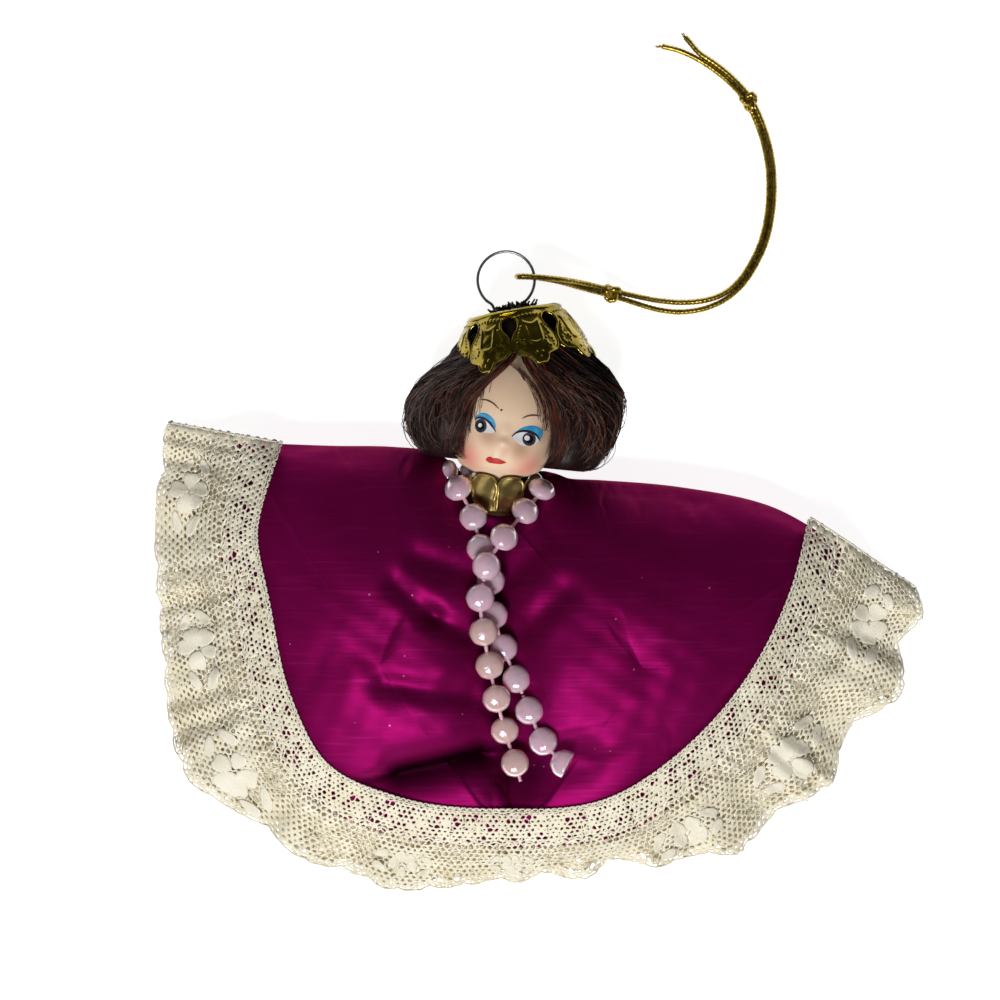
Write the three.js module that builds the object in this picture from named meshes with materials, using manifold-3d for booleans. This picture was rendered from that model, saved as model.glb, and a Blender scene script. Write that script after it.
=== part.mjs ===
// A hanging doll ornament, lying on its back: a stuffed satin cape with a gathered lace edge, a doll's
// head in a wig, a stamped crown and collar, a string of beads, a wire loop and a doubled gold cord.
// Millimetres. +X is the viewer's right, +Y runs from the cape up to the crown, +Z points away from the
// table. The origin is on the table, under the middle of the ornament without its cord.

import * as THREE from "three";
import { mergeVertices } from "three/addons/utils/BufferGeometryUtils.js";
import Module from "manifold-3d";

const wasm = await Module();
wasm.setup();

// Shared
const clearance = 0.3; // gap between pieces that touch
const slopeClearance = 0.7; // the same gap measured straight up from a sloping surface

// Cape: outline of its edge seam, heights above the table and the channels pressed into the satin. Places
// on the cape are shares of its width and its length, across and down from the neck.
const neckPoint = [-9.2, 13.4];
const capeWidth = 121; // from corner to corner
const capeLength = 68.8; // from the neck to the foot of the centre seam
const onCape = ([across, down, ...height]) => {
  return [neckPoint[0] + across * capeWidth, neckPoint[1] - down * capeLength, ...height];
};
const leftCorner = onCape([-0.424, -0.186]);
const rightCorner = onCape([0.576, 0.116]);
const seamFoot = onCape([0.026, 1]);
const topLeftPoints = [neckPoint, ...[
  [-0.056, -0.007], [-0.096, -0.047], [-0.124, -0.116], [-0.172, -0.147], [-0.271, -0.164],
].map(onCape), leftCorner];
const topRightPoints = [neckPoint, ...[
  [0.058, -0.003], [0.096, -0.023], [0.119, -0.065], [0.167, -0.074], [0.307, -0.042], [0.456, 0.019],
].map(onCape), rightCorner];
const rimLeftPoints = [leftCorner, ...[
  [-0.46, 0.064], [-0.436, 0.311], [-0.402, 0.58], [-0.325, 0.827], [-0.18, 0.959],
].map(onCape), seamFoot];
const rimRightPoints = [seamFoot, ...[
  [0.2, 0.964], [0.336, 0.82], [0.464, 0.578], [0.549, 0.297],
].map(onCape), rightCorner];
const centreSeamPoints = [neckPoint, ...[
  [0.003, 0.195], [0.012, 0.515], [0.023, 0.834],
].map(onCape), seamFoot];
const seamHeight = 10; // edge seam
const lobeHeight = 27; // top of each stuffed half
const furrowHeight = 17.5; // centre seam between the two halves
const leftLobeTop = onCape([-0.188, 0.456]);
const rightLobeTop = onCape([0.241, 0.471]);
const lobeFullness = 2.2; // how fast the stuffing rises from the edge
const furrowFullness = 8; // how fast the centre seam rises from its ends
const satinThickness = 0.8;
const backFlatStart = 0.45; // share of the way in from the edge where the back lies flat on the table
const backMiddle = onCape([0.018, 0.427]);
const stuffingEdge = 1.2; // stuffing stops this far inside the edge seam
const backRelief = 0.4; // stuffing keeps off the curve of the back by this much more
const stuffingOverlap = 0.5; // its two halves run into each other under the centre seam
const channels = [
  { from: onCape([-0.155, 0.122]), to: onCape([-0.044, 0.189]), width: 2.8, depth: 1.5 },
  { from: onCape([-0.155, 0.224]), to: onCape([-0.064, 0.326]), width: 2.6, depth: 1.6 },
  { from: onCape([-0.188, 0.515]), to: onCape([-0.048, 0.535]), width: 2.6, depth: 1.5 },
  { from: onCape([-0.18, 0.769]), to: onCape([-0.007, 0.695]), width: 3.4, depth: 3 },
  { from: onCape([0.035, 0.195]), to: onCape([0.093, 0.093]), width: 2.6, depth: 1.4 },
  { from: onCape([0.043, 0.369]), to: onCape([0.117, 0.238]), width: 2.4, depth: 1.1 },
];

// Lace, measured outwards from the edge of the satin that shows
const satinInset = 8.5; // satin that lies hidden between that edge and the edge seam
const headingWidth = 7;
const laceThickness = 0.8;
const laceBridge = 4; // half the width of the furrow that it spans
const cornerLift = 1; // it stands off the corners of the cape by this much more
const laceReach = [21.5, 20.6, 23.5, 25.5, 20.5, 18.6, 14.4, 14.2, 23, 24, 26.5, 27.5]; // left to right
const laceEndLeft = [-0.98, 0.18]; // direction of the two cut ends
const laceEndRight = [0.84, -0.54];
const ruffleFolds = 17;
const ruffleFoldHeight = 1.7;
const ruffleSkirt = 0.5; // share of the way out where the ruffle reaches the table
const ruffleRest = 2.4; // middle of the folds above the table

// Head, on a neck that leans in the picture
const neckBase = [-9.2, 12.2, 13]; // middle of the collar's foot
const crownHeight = 40.3; // flat top of the crown above the collar's foot
const neckLean = -6; // degrees
const neckRadius = 3;
const neckLength = 7; // stub inside the stuffing
const flangeRadius = 4.4;
const flangeThickness = 1.2;
const vinylThickness = 1.2;
const skullRadius = 10.6;
const skullTop = crownHeight - 6;
const skullWidest = 19;
const chinHeight = 6.3;

// Wig
const wigWidth = 43;
const wigDepth = 27.4;
const wigTop = crownHeight - 1;
const wigBottom = 9.8;
const wigShift = [1.5, 1.4]; // sideways and forwards from the neck
const hairlineTop = 27;
const hairlineWidth = 12.5;
const jawGap = 19.5; // width between the two sides of the wig at the jaw

// Crown and collar: stamped caps with a flat foot and petals round it
const capThickness = 0.45;
const crownPetals = 8;
const crownShift = [-0.5, 2.2]; // sideways and forwards from the neck
const crownLean = 10; // degrees
const crownRadius = 9.4;
const crownPetalLength = 12;
const crownPetalWidth = 9.4;
const crownFlare = 30; // degrees from its axis
const collarPetals = 6;
const collarFootRadius = 3.9;
const collarPetalLength = 7.7;
const collarPetalWidth = 6.2;
const collarFlare = 18.5;

// Hanger wire
const wireRadius = 0.3;
const ringPlace = [-1.5, 6.7, -2.2]; // from the middle of the crown's top
const ringRadius = 5.4; // to the middle of the wire
const ringGap = 74; // degrees left open at the bottom of the ring
const legDepth = 13; // legs reach this far below the crown's top
const legHook = 1.8; // bent outwards at the end

// Beads: flat lentils moulded on a thread
const beadDiameter = 5.8;
const beadThickness = 3.6;
const beadStem = 0.95; // bare thread past the last bead
const threadRadius = 0.36;
const beadBore = 1.5; // half width of its flat bore
const stringLevel = 18.4; // height of the string behind the neck
const stringLean = 0.14; // it hangs lower to the right
const stringRadius = 9.2; // from the neck's axis
const tailGap = 0.4; // gap in the thread where a tail bends
// On each strand: where its tail bends, and how many beads lie before and after that. The ratios say how
// many bead spaces that stretch of the strand holds for each bead.
const stringA = {
  bend: onCape([-0.02, 0.218]), neckCount: 5, neckRatio: 1.188, tailCount: 6, tailRatio: 1.01,
};
const stringB = {
  bend: onCape([0.045, 0.542]), neckCount: 9, neckRatio: 1.0467, tailCount: 3, tailRatio: 0.8733,
};
const byNeck = ([across, down, height]) => [neckPoint[0] + across, neckPoint[1] - down, height];
const chestRouteA = [...[[9.1, -2.8, 16.4], [5.4, 1.7, 19]].map(byNeck), ...[
  [0.012, 0.097], [-0.015, 0.177], [-0.024, 0.259], [-0.019, 0.356], [-0.01, 0.446],
  [0.002, 0.547], [0.016, 0.644], [0.034, 0.746], [0.041, 0.791],
].map(onCape)];
const chestRouteB = [...[[-7.1, -3.2, 17.6], [-4, 3, 19.4]].map(byNeck), ...[
  [-0.023, 0.122], [-0.005, 0.23], [-0.001, 0.326], [0.014, 0.407], [0.035, 0.497],
  [0.056, 0.586], [0.078, 0.672], [0.107, 0.735], [0.117, 0.756],
].map(onCape)];
const endBeadCut = 0.9; // the last bead of the second tail is cut across this far past its middle

// Gold cord, doubled through the ring and laid down on the table
const cordRadius = 0.55;
const cordSpread = 0.05; // between the strands where they lie side by side
// Line midway between the strands: across and up from the middle of the ring, and above the table
const cordPlaces = [
  [3.25, 0.3, 13], [5.4, 0.2, 13], [10, -0.3, 11.9], [15, -1.2, 8.6],
  [21.4, -2.6, 4.8], [26.5, -3.9, 2.6], [31, -4.9, 1.35], [35.5, -5.3, 0.75],
  [40.4, -4.7, 0.65], [44.4, -3.1, 0.65], [47.6, -0.4, 0.65], [50.4, 3.8, 0.65],
  [52.4, 8.4, 0.65], [53.5, 13.4, 0.65], [53.9, 19, 0.65], [53.5, 24.6, 0.65],
  [52, 30.6, 0.7], [49.2, 36.6, 1.2], [45.4, 41, 0.7], [40.4, 44.8, 0.65],
  [35.6, 47.2, 0.65], [31.8, 48.2, 0.65],
];
const loopKnotAt = 4; // index in the route
const endKnotAt = 17;
const knotLength = 4;
const knotWidth = 3.4;
const knotHeight = 2.2;
const knotGap = 0.2; // between a knot and the strands that go into it
const strandPart = 1.1; // strands lie this far apart, at most, after the first knot
const tailPart = 1.3; // and at their cut ends

// Mesh fineness
const spanSteps = 2; // samples between two outline points
const panelRings = 6;
const laceColumns = 64;
const ruffleRows = 4;
const roundSides = 18;
const tubeSides = 8;
const beadSides = 8;
const cordStep = 2.6; // along the gold cord
const loopStep = 1; // where it bends round the wire
const threadStep = 1.6;
const wireStep = 1;
const strandPoints = 24; // of the line of one strand between its knots
const routeSamples = 20; // in each span of the cord's line
const stringSamples = 400; // along a route of the bead string

const point = (at, z = 0) => new THREE.Vector3(at[0], at[1], at[2] ?? z);
const mix = (a, b, share) => a + (b - a) * share;
const clamp01 = (value) => Math.min(1, Math.max(0, value));
const smooth = (value) => clamp01(value) ** 2 * (3 - 2 * clamp01(value));
const curveThrough = (points) => new THREE.CatmullRomCurve3(points, false, "centripetal");

// Solids

function solidOf(geometry) {
  const bare = geometry.clone();
  bare.deleteAttribute("normal");
  bare.deleteAttribute("uv");
  const merged = mergeVertices(bare, 1e-4);
  return new wasm.Manifold(
    new wasm.Mesh({
      numProp: 3,
      vertProperties: merged.attributes.position.array,
      triVerts: new Uint32Array(merged.index.array),
    }),
  );
}

function geometryOf(solid) {
  const { numProp, vertProperties, triVerts, numVert } = solid.getMesh();
  const places = new Float32Array(numVert * 3);
  for (let i = 0; i < numVert; i += 1) {
    places.set(vertProperties.subarray(i * numProp, i * numProp + 3), i * 3);
  }
  const geometry = new THREE.BufferGeometry();
  geometry.setAttribute("position", new THREE.BufferAttribute(places, 3));
  geometry.setIndex(new THREE.BufferAttribute(triVerts, 1));
  return geometry;
}

// A closed geometry from points and triangles, turned so that its faces point out
function geometryFrom(points, triangles) {
  const volume = triangles.reduce((sum, [a, b, c]) => {
    return sum + points[a].dot(new THREE.Vector3().crossVectors(points[b], points[c]));
  }, 0);
  const faces = volume < 0 ? triangles.map(([a, b, c]) => [a, c, b]) : triangles;
  const geometry = new THREE.BufferGeometry().setFromPoints(points);
  geometry.setIndex(faces.flat());
  return geometry;
}

// A solid between two discs, each given as rings from the edge inwards and one middle point
function discSolid(upper, lower) {
  const around = upper.rings[0].length;
  const rings = upper.rings.length;
  const points = [...upper.rings.flat(), upper.middle, ...lower.rings.flat(), lower.middle];
  const lowerStart = rings * around + 1;
  const triangles = [];
  const at = (start, ring, column) => start + ring * around + (column % around);
  for (const [start, turned] of [[0, false], [lowerStart, true]]) {
    const add = (a, b, c) => triangles.push(turned ? [a, c, b] : [a, b, c]);
    for (let column = 0; column < around; column += 1) {
      for (let ring = 0; ring < rings - 1; ring += 1) {
        add(at(start, ring, column), at(start, ring, column + 1), at(start, ring + 1, column));
        add(at(start, ring, column + 1), at(start, ring + 1, column + 1), at(start, ring + 1, column));
      }
      add(at(start, rings - 1, column), at(start, rings - 1, column + 1), start + rings * around);
    }
  }
  for (let column = 0; column < around; column += 1) {
    const [a, b] = [at(0, 0, column), at(0, 0, column + 1)];
    const [c, d] = [at(lowerStart, 0, column), at(lowerStart, 0, column + 1)];
    triangles.push([b, a, c], [b, c, d]);
  }
  return geometryFrom(points, triangles);
}

// A solid between two strips, each given as rows of points
function stripSolid(upper, lower) {
  const rows = upper.length;
  const columns = upper[0].length;
  const points = [...upper.flat(), ...lower.flat()];
  const lowerStart = rows * columns;
  const triangles = [];
  for (let row = 0; row < rows - 1; row += 1) {
    for (let column = 0; column < columns - 1; column += 1) {
      const [a, b] = [row * columns + column, row * columns + column + 1];
      const [c, d] = [a + columns, b + columns];
      triangles.push([a, b, c], [b, d, c]);
      triangles.push([a + lowerStart, c + lowerStart, b + lowerStart]);
      triangles.push([b + lowerStart, c + lowerStart, d + lowerStart]);
    }
  }
  const edge = [];
  for (let column = 0; column < columns; column += 1) edge.push(column);
  for (let row = 1; row < rows; row += 1) edge.push(row * columns + columns - 1);
  for (let column = columns - 2; column >= 0; column -= 1) edge.push((rows - 1) * columns + column);
  for (let row = rows - 2; row > 0; row -= 1) edge.push(row * columns);
  edge.forEach((a, i) => {
    const b = edge[(i + 1) % edge.length];
    triangles.push([b, a, a + lowerStart], [b, a + lowerStart, b + lowerStart]);
  });
  return geometryFrom(points, triangles);
}

// A round bar along a smooth line through points, with a step about every so many millimetres
function bar(points, radius, step) {
  const line = curveThrough(points);
  const section = Array.from({ length: tubeSides }, (_, i) => {
    const angle = (i / tubeSides) * 2 * Math.PI;
    return new THREE.Vector2(radius * Math.cos(angle), radius * Math.sin(angle));
  });
  return geometryOf(solidOf(new THREE.ExtrudeGeometry(new THREE.Shape(section), {
    steps: Math.max(2, Math.round(line.getLength() / step)), extrudePath: line, bevelEnabled: false,
  })));
}

// A body of revolution about +Y from [radius, height] pairs, taken so that its faces point out
function turned(profile, sides) {
  const outline = profile.map(([r, y]) => new THREE.Vector2(r, y));
  if (THREE.ShapeUtils.isClockWise(outline)) outline.reverse();
  return new THREE.LatheGeometry(outline, sides);
}

function cylinderAlong(from, to, radius, sides = 12) {
  const axis = new THREE.Vector3().subVectors(to, from);
  const geometry = new THREE.CylinderGeometry(radius, radius, axis.length(), sides);
  const up = new THREE.Vector3(0, 1, 0);
  const turn = new THREE.Quaternion().setFromUnitVectors(up, axis.clone().normalize());
  const middle = new THREE.Vector3().addVectors(from, to).multiplyScalar(0.5);
  return geometry.applyMatrix4(new THREE.Matrix4().compose(middle, turn, new THREE.Vector3(1, 1, 1)));
}

const doll = new THREE.Group();

function add(name, geometry, color, roughness, metalness = 0) {
  const mesh = new THREE.Mesh(geometry, new THREE.MeshStandardMaterial({ color, roughness, metalness }));
  mesh.name = name;
  doll.add(mesh);
  return mesh;
}

// Cape

// Points through an outline's corners, with the same number of samples in each span
function sampled(points) {
  const curve = curveThrough(points.map((at) => point(at)));
  const count = (points.length - 1) * spanSteps;
  return Array.from({ length: count + 1 }, (_, i) => curve.getPoint(i / count));
}

const frontEdge = seamHeight + clearance / 2 + satinThickness;
const centreSeam = sampled(centreSeamPoints);
centreSeam.forEach((at, i) => {
  const share = i / (centreSeam.length - 1);
  const rise = 1 - (1 - 2 * Math.min(share, 1 - share)) ** furrowFullness;
  at.z = mix(frontEdge, furrowHeight, rise);
});
const onSeam = new Set(centreSeam.slice(1, -1));
const topLeft = sampled(topLeftPoints);
const topRight = sampled(topRightPoints);
const rimLeft = sampled(rimLeftPoints);
const rimRight = sampled(rimRightPoints);
for (const at of [...topLeft, ...topRight, ...rimLeft, ...rimRight]) at.z = frontEdge;

function distanceToSegment(x, y, from, to) {
  const [dx, dy] = [to[0] - from[0], to[1] - from[1]];
  const share = clamp01(((x - from[0]) * dx + (y - from[1]) * dy) / (dx * dx + dy * dy));
  return Math.hypot(x - from[0] - dx * share, y - from[1] - dy * share);
}

const channelDepth = (x, y) => channels.reduce((sum, { from, to, width, depth }) => {
  return sum + depth * Math.exp(-((distanceToSegment(x, y, from, to) / width) ** 2));
}, 0);

// One stuffed half: it rises from the edge all round to a top, by how far in a point lies on its spoke
class Lobe {
  constructor(edge, top) {
    this.edge = edge;
    this.top = top;
    this.spokes = edge.map((at) => ({
      angle: Math.atan2(at.y - top[1], at.x - top[0]),
      radius: Math.hypot(at.x - top[0], at.y - top[1]),
      z: at.z,
    })).sort((a, b) => a.angle - b.angle);
  }

  // Where a line from the top at this angle meets the edge, which is straight between two spokes
  spokeAt(angle) {
    const { spokes } = this;
    const next = spokes.findIndex((spoke) => spoke.angle > angle);
    const b = spokes[Math.max(next, 0)];
    const a = spokes[next <= 0 ? spokes.length - 1 : next - 1];
    const turn = 2 * Math.PI;
    const gap = (b.angle - a.angle + turn) % turn;
    const past = (angle - a.angle + turn) % turn;
    const near = a.radius * Math.sin(past);
    const both = near + b.radius * Math.sin(gap - past);
    return { radius: (a.radius * b.radius * Math.sin(gap)) / both, z: mix(a.z, b.z, near / both) };
  }

  // Height before the channels are pressed in, and how far in the point lies: 0 at the edge, 1 at the top
  bare(x, y) {
    const [dx, dy] = [x - this.top[0], y - this.top[1]];
    const spoke = this.spokeAt(Math.atan2(dy, dx));
    const inwards = 1 - Math.hypot(dx, dy) / spoke.radius;
    const rise = inwards < 0 ? inwards : 1 - (1 - inwards) ** lobeFullness;
    return { z: mix(spoke.z, lobeHeight, rise), inwards, outside: -inwards * spoke.radius };
  }

  pressed(x, y) {
    return channelDepth(x, y) * smooth(this.bare(x, y).inwards * 6);
  }

  height(x, y) {
    return this.bare(x, y).z - this.pressed(x, y);
  }

  // The edge moved inwards, then rings of points towards the top
  rings(insetOf) {
    const places = [];
    for (let ring = 0; ring < panelRings; ring += 1) {
      const share = (ring / panelRings) ** 1.25;
      places.push(this.edge.map((at) => {
        const spoke = Math.hypot(at.x - this.top[0], at.y - this.top[1]);
        const inwards = mix(insetOf(at) / spoke, 1, share);
        return new THREE.Vector3(mix(at.x, this.top[0], inwards), mix(at.y, this.top[1], inwards), 0);
      }));
    }
    return places;
  }

  sheet(insetOf, heightAt) {
    const lift = (at) => new THREE.Vector3(at.x, at.y, heightAt(at.x, at.y));
    return {
      rings: this.rings(insetOf).map((ring) => ring.map(lift)),
      middle: lift(point(this.top)),
    };
  }
}

// Loops run from the neck along the top edge, round the rim to the foot of the seam and back up it
const leftEdge = [...topLeft.slice(0, -1), ...rimLeft.slice(0, -1), ...centreSeam.slice(1).reverse()];
const rightEdge = [...centreSeam.slice(0, -1), ...rimRight.slice(0, -1), ...topRight.slice(1).reverse()];
const leftLobe = new Lobe(leftEdge, leftLobeTop);
const rightLobe = new Lobe(rightEdge, rightLobeTop);

function seamXAt(y) {
  const next = centreSeam.findIndex((at) => at.y < y);
  if (next <= 0) return next === 0 ? centreSeam[0].x : centreSeam.at(-1).x;
  const [a, b] = [centreSeam[next - 1], centreSeam[next]];
  return mix(a.x, b.x, (a.y - y) / (a.y - b.y));
}

const lobeAt = (x, y) => (x < seamXAt(y) ? leftLobe : rightLobe);

// The back: up at the edge seam, flat on the table further in
const rimEdge = [...rimLeft.slice(0, -1), ...rimRight.slice(0, -1)];
const backEdge = [...topLeft.slice(0, -1), ...rimEdge, ...topRight.slice(1).reverse()];
const backLobe = new Lobe(backEdge, backMiddle);
const backRise = seamHeight - clearance / 2 - satinThickness;

function backHeight(x, y) {
  const [dx, dy] = [x - backMiddle[0], y - backMiddle[1]];
  const inwards = 1 - Math.hypot(dx, dy) / backLobe.spokeAt(Math.atan2(dy, dx)).radius;
  return backRise * (1 - clamp01(inwards / backFlatStart)) ** 2;
}

function backSheet(lift) {
  const shares = [0, 0.13, 0.3, 0.58, 1].map((share) => share * backFlatStart);
  const raise = (at) => new THREE.Vector3(at.x, at.y, backHeight(at.x, at.y) + lift);
  const rings = shares.map((share) => backEdge.map((at) => {
    return raise(new THREE.Vector3(mix(at.x, backMiddle[0], share), mix(at.y, backMiddle[1], share), 0));
  }));
  return { rings, middle: raise(point(backMiddle)) };
}

// Stuffing under one front half, down to the inside of the back
function stuffingHalf(lobe) {
  const inset = (at) => (onSeam.has(at) ? -stuffingOverlap : stuffingEdge);
  const top = (x, y) => lobe.height(x, y) - lobe.pressed(x, y) / 2 - satinThickness - slopeClearance;
  const upper = lobe.sheet(inset, top);
  const bottom = (x, y) => {
    const rise = backHeight(x, y) / backRise;
    return backHeight(x, y) + backRelief * 4 * rise * (1 - rise) + satinThickness + slopeClearance;
  };
  const lower = lobe.sheet(inset, bottom);
  return solidOf(discSolid(upper, lower));
}

// Head frame: +Y up the neck from the foot of the collar, +Z out of the face

const headFrame = new THREE.Matrix4()
  .makeRotationZ(THREE.MathUtils.degToRad(neckLean))
  .setPosition(...neckBase);
const inHead = (geometry) => geometry.applyMatrix4(headFrame);

// Outline of the head from the top of the skull to the neck, grown outwards by a margin
function skullProfile(margin) {
  const r = skullRadius + margin;
  const upper = skullTop - skullWidest + margin;
  const dome = [0, 18, 36, 54, 72, 90].map((degrees) => {
    const angle = THREE.MathUtils.degToRad(degrees);
    return [r * Math.sin(angle), skullWidest + upper * Math.cos(angle)];
  });
  const jaw = [[0.965, 0.61], [0.87, 0.36], [0.745, 0.205], [0.595, 0.135], [0.435, 0.075]];
  return [...dome, ...jaw.map(([share, rise]) => {
    return [r * share, mix(chinHeight, skullWidest, rise) - margin];
  })];
}

function headSolid() {
  const outside = skullProfile(0);
  const inside = skullProfile(-vinylThickness).reverse();
  const bore = neckRadius - vinylThickness;
  return turned([
    ...outside,
    [neckRadius, chinHeight - 0.6],
    [neckRadius, flangeThickness - neckLength],
    [flangeRadius, flangeThickness - neckLength],
    [flangeRadius, -neckLength],
    [bore, -neckLength],
    [bore, chinHeight],
    ...inside,
  ], roundSides);
}

// Room for the head, filled in
function headRoom() {
  const neck = neckRadius + clearance;
  const profile = [...skullProfile(clearance), [neck, chinHeight - 1], [neck, 0], [0, 0]];
  return solidOf(inHead(turned(profile, roundSides)));
}

// Collar and crown: a flat foot with petals round it. Each cap is made with its foot at y = 0 and its
// petals running down.

function petalShape(halfOutline, length, width) {
  const half = width / 2;
  const side = halfOutline.map(([along, across]) => new THREE.Vector2(across * half, -along * length));
  const outline = [...side, ...side.slice(0, -1).reverse().map((at) => new THREE.Vector2(-at.x, at.y))];
  return new THREE.Shape(outline);
}

function stampedCap({ petals, footRadius, holeRadius, halfOutline, length, width, flare }) {
  const hole = Math.max(holeRadius, 0);
  const foot = hole > 0
    ? [[footRadius, 0], [footRadius, -capThickness], [hole, -capThickness], [hole, 0], [footRadius, 0]]
    : [[0, 0], [footRadius, 0], [footRadius, -capThickness], [0, -capThickness]];
  let cap = solidOf(turned(foot, petals * 2));
  for (let petal = 0; petal < petals; petal += 1) {
    const shape = petalShape(halfOutline, length, width);
    const plate = new THREE.ExtrudeGeometry(shape, { depth: capThickness, bevelEnabled: false });
    plate.rotateX(-THREE.MathUtils.degToRad(flare));
    plate.translate(0, 0, footRadius - capThickness);
    plate.rotateY(((petal + 0.5) / petals) * 2 * Math.PI);
    cap = cap.add(solidOf(plate));
  }
  return cap;
}

const trefoil = [[0, 0.9], [0.12, 0.88], [0.19, 0.62], [0.27, 0.56], [0.37, 0.8], [0.48, 0.98], [0.62, 0.98],
  [0.73, 0.74], [0.78, 0.42], [0.86, 0.35], [0.95, 0.25], [1, 0]];
const lobed = [[0, 0.66], [0.28, 0.76], [0.58, 0.92], [0.8, 1], [0.93, 0.78], [0.99, 0.4], [1, 0]];

const crownTop = new THREE.Vector3(crownShift[0], crownHeight, crownShift[1]).applyMatrix4(headFrame);
const crownMiddle = crownTop.toArray();
const crownFrame = new THREE.Matrix4()
  .makeRotationZ(THREE.MathUtils.degToRad(crownLean))
  .setPosition(crownTop);

// Room for the crown in the hair: the space over its top and a sleeve round its petals
function crownRoom() {
  const flare = THREE.MathUtils.degToRad(crownFlare);
  const corner = 1 / Math.cos(Math.PI / crownPetals);
  const reach = crownPetalLength + clearance * 2;
  const [down, out] = [reach * Math.cos(flare), reach * Math.sin(flare)];
  const inner = (crownRadius - capThickness - clearance * 2) * corner;
  const outer = (crownRadius + capThickness + clearance * 2) * corner;
  const over = crownRadius;
  const under = -capThickness - clearance;
  const sleeve = turned([[0, under], [inner, under], [inner + out * corner, -down],
    [outer + out * corner, -down], [outer, over], [0, over]], crownPetals);
  return solidOf(sleeve.applyMatrix4(crownFrame));
}

// Hanger wire

const ringMiddle = crownTop.clone().add(point(ringPlace)).toArray();
const legX = (side) => side * ringRadius * Math.sin(THREE.MathUtils.degToRad(ringGap / 2));
const ringFoot = ringRadius * Math.cos(THREE.MathUtils.degToRad(ringGap / 2));
const legFoot = crownMiddle[1] - legDepth;

function wirePoints() {
  const [x, y, z] = ringMiddle;
  const arc = [];
  for (let degrees = ringGap / 2; degrees <= 360 - ringGap / 2 + 0.01; degrees += (360 - ringGap) / 16) {
    const angle = THREE.MathUtils.degToRad(degrees - 90);
    arc.push(new THREE.Vector3(x + ringRadius * Math.cos(angle), y + ringRadius * Math.sin(angle), z));
  }
  const leg = (side) => [
    new THREE.Vector3(x + legX(side), y - ringFoot - 1.6, z),
    new THREE.Vector3(x + legX(side), mix(y - ringFoot, legFoot, 0.5), z),
    new THREE.Vector3(x + legX(side), legFoot + legHook, z),
    new THREE.Vector3(x + legX(side) + side * legHook, legFoot, z),
  ];
  return [...leg(1).reverse(), ...arc, ...leg(-1)];
}

// Straight holes for the two legs through the crown, the wig and the top of the head
function legHoles() {
  const [x, y, z] = ringMiddle;
  return [1, -1].map((side) => {
    const from = new THREE.Vector3(x + legX(side), legFoot, z);
    const to = new THREE.Vector3(x + legX(side), y - ringFoot, z);
    return solidOf(cylinderAlong(from, to, wireRadius + clearance + 0.1));
  }).reduce((a, b) => a.add(b));
}

// Wig: a rounded bob, cut for the head, the crown, the face and the wire

function wigSolid() {
  const half = wigWidth / 2;
  const profile = [[0, 1], [0.34, 0.975], [0.58, 0.85], [0.75, 0.705], [0.91, 0.56], [0.985, 0.415],
    [1, 0.275], [0.95, 0.14], [0.86, 0.035], [0.68, 0], [0, 0]];
  const bob = turned(profile.map(([r, y]) => [r * half, mix(wigBottom, wigTop, y)]), roundSides);
  bob.scale(1, 1, wigDepth / wigWidth);
  bob.translate(wigShift[0], 0, wigShift[1]);
  const hairline = [[-0.5 * jawGap, wigBottom - 4], [-0.5 * jawGap, 12], [-0.4 * hairlineWidth, 20],
    [-0.25 * hairlineWidth, hairlineTop - 2], [0, hairlineTop], [0.3 * hairlineWidth, hairlineTop - 1.5],
    [0.5 * hairlineWidth, 20], [0.5 * jawGap, 12], [0.5 * jawGap, wigBottom - 4]];
  const window = new THREE.Shape(hairline.map(([x, y]) => new THREE.Vector2(x, y)));
  const face = new THREE.ExtrudeGeometry(window, { depth: wigDepth, bevelEnabled: false });
  return solidOf(inHead(bob))
    .subtract(headRoom())
    .subtract(solidOf(inHead(face)))
    .subtract(crownRoom())
    .subtract(legHoles());
}

// Room for the neck stub and the collar in the cape's neckline
function neckRoom() {
  const flange = flangeRadius + clearance;
  const neck = neckRadius + clearance;
  const flare = THREE.MathUtils.degToRad(collarFlare);
  const corner = 1 / Math.cos(Math.PI / collarPetals);
  const reach = collarPetalLength * 2;
  const foot = collarFootRadius * corner + clearance * 2;
  const profile = [[0, -neckLength - clearance], [flange, -neckLength - clearance],
    [flange, flangeThickness - neckLength + clearance], [neck, flangeThickness - neckLength + clearance],
    [neck, -clearance * 1.5], [foot, -clearance * 1.5],
    [foot + reach * Math.sin(flare) * corner, reach * Math.cos(flare)], [0, reach * Math.cos(flare)]];
  return solidOf(inHead(turned(profile, roundSides)));
}

// Cape pieces

const neckHole = neckRoom();
const panelInset = () => clearance / 2;
for (const [name, lobe] of [["cape_front_left", leftLobe], ["cape_front_right", rightLobe]]) {
  const upper = lobe.sheet(panelInset, (x, y) => lobe.height(x, y));
  const lower = lobe.sheet(panelInset, (x, y) => lobe.height(x, y) - satinThickness);
  add(name, geometryOf(solidOf(discSolid(upper, lower)).subtract(neckHole)), 0x8b0a5a, 0.35);
}
const backPanel = solidOf(discSolid(backSheet(satinThickness), backSheet(0))).subtract(neckHole);
add("cape_back", geometryOf(backPanel), 0x7a084e, 0.4);
const filling = stuffingHalf(leftLobe).add(stuffingHalf(rightLobe)).subtract(neckHole);
add("stuffing", geometryOf(filling), 0xf2efe8, 0.95);

// Lace: a flat heading on the satin, then the ruffle over the rim and down to the table

const rim = curveThrough([...rimLeftPoints, ...rimRightPoints.slice(1)].map((at) => point(at)));

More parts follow.
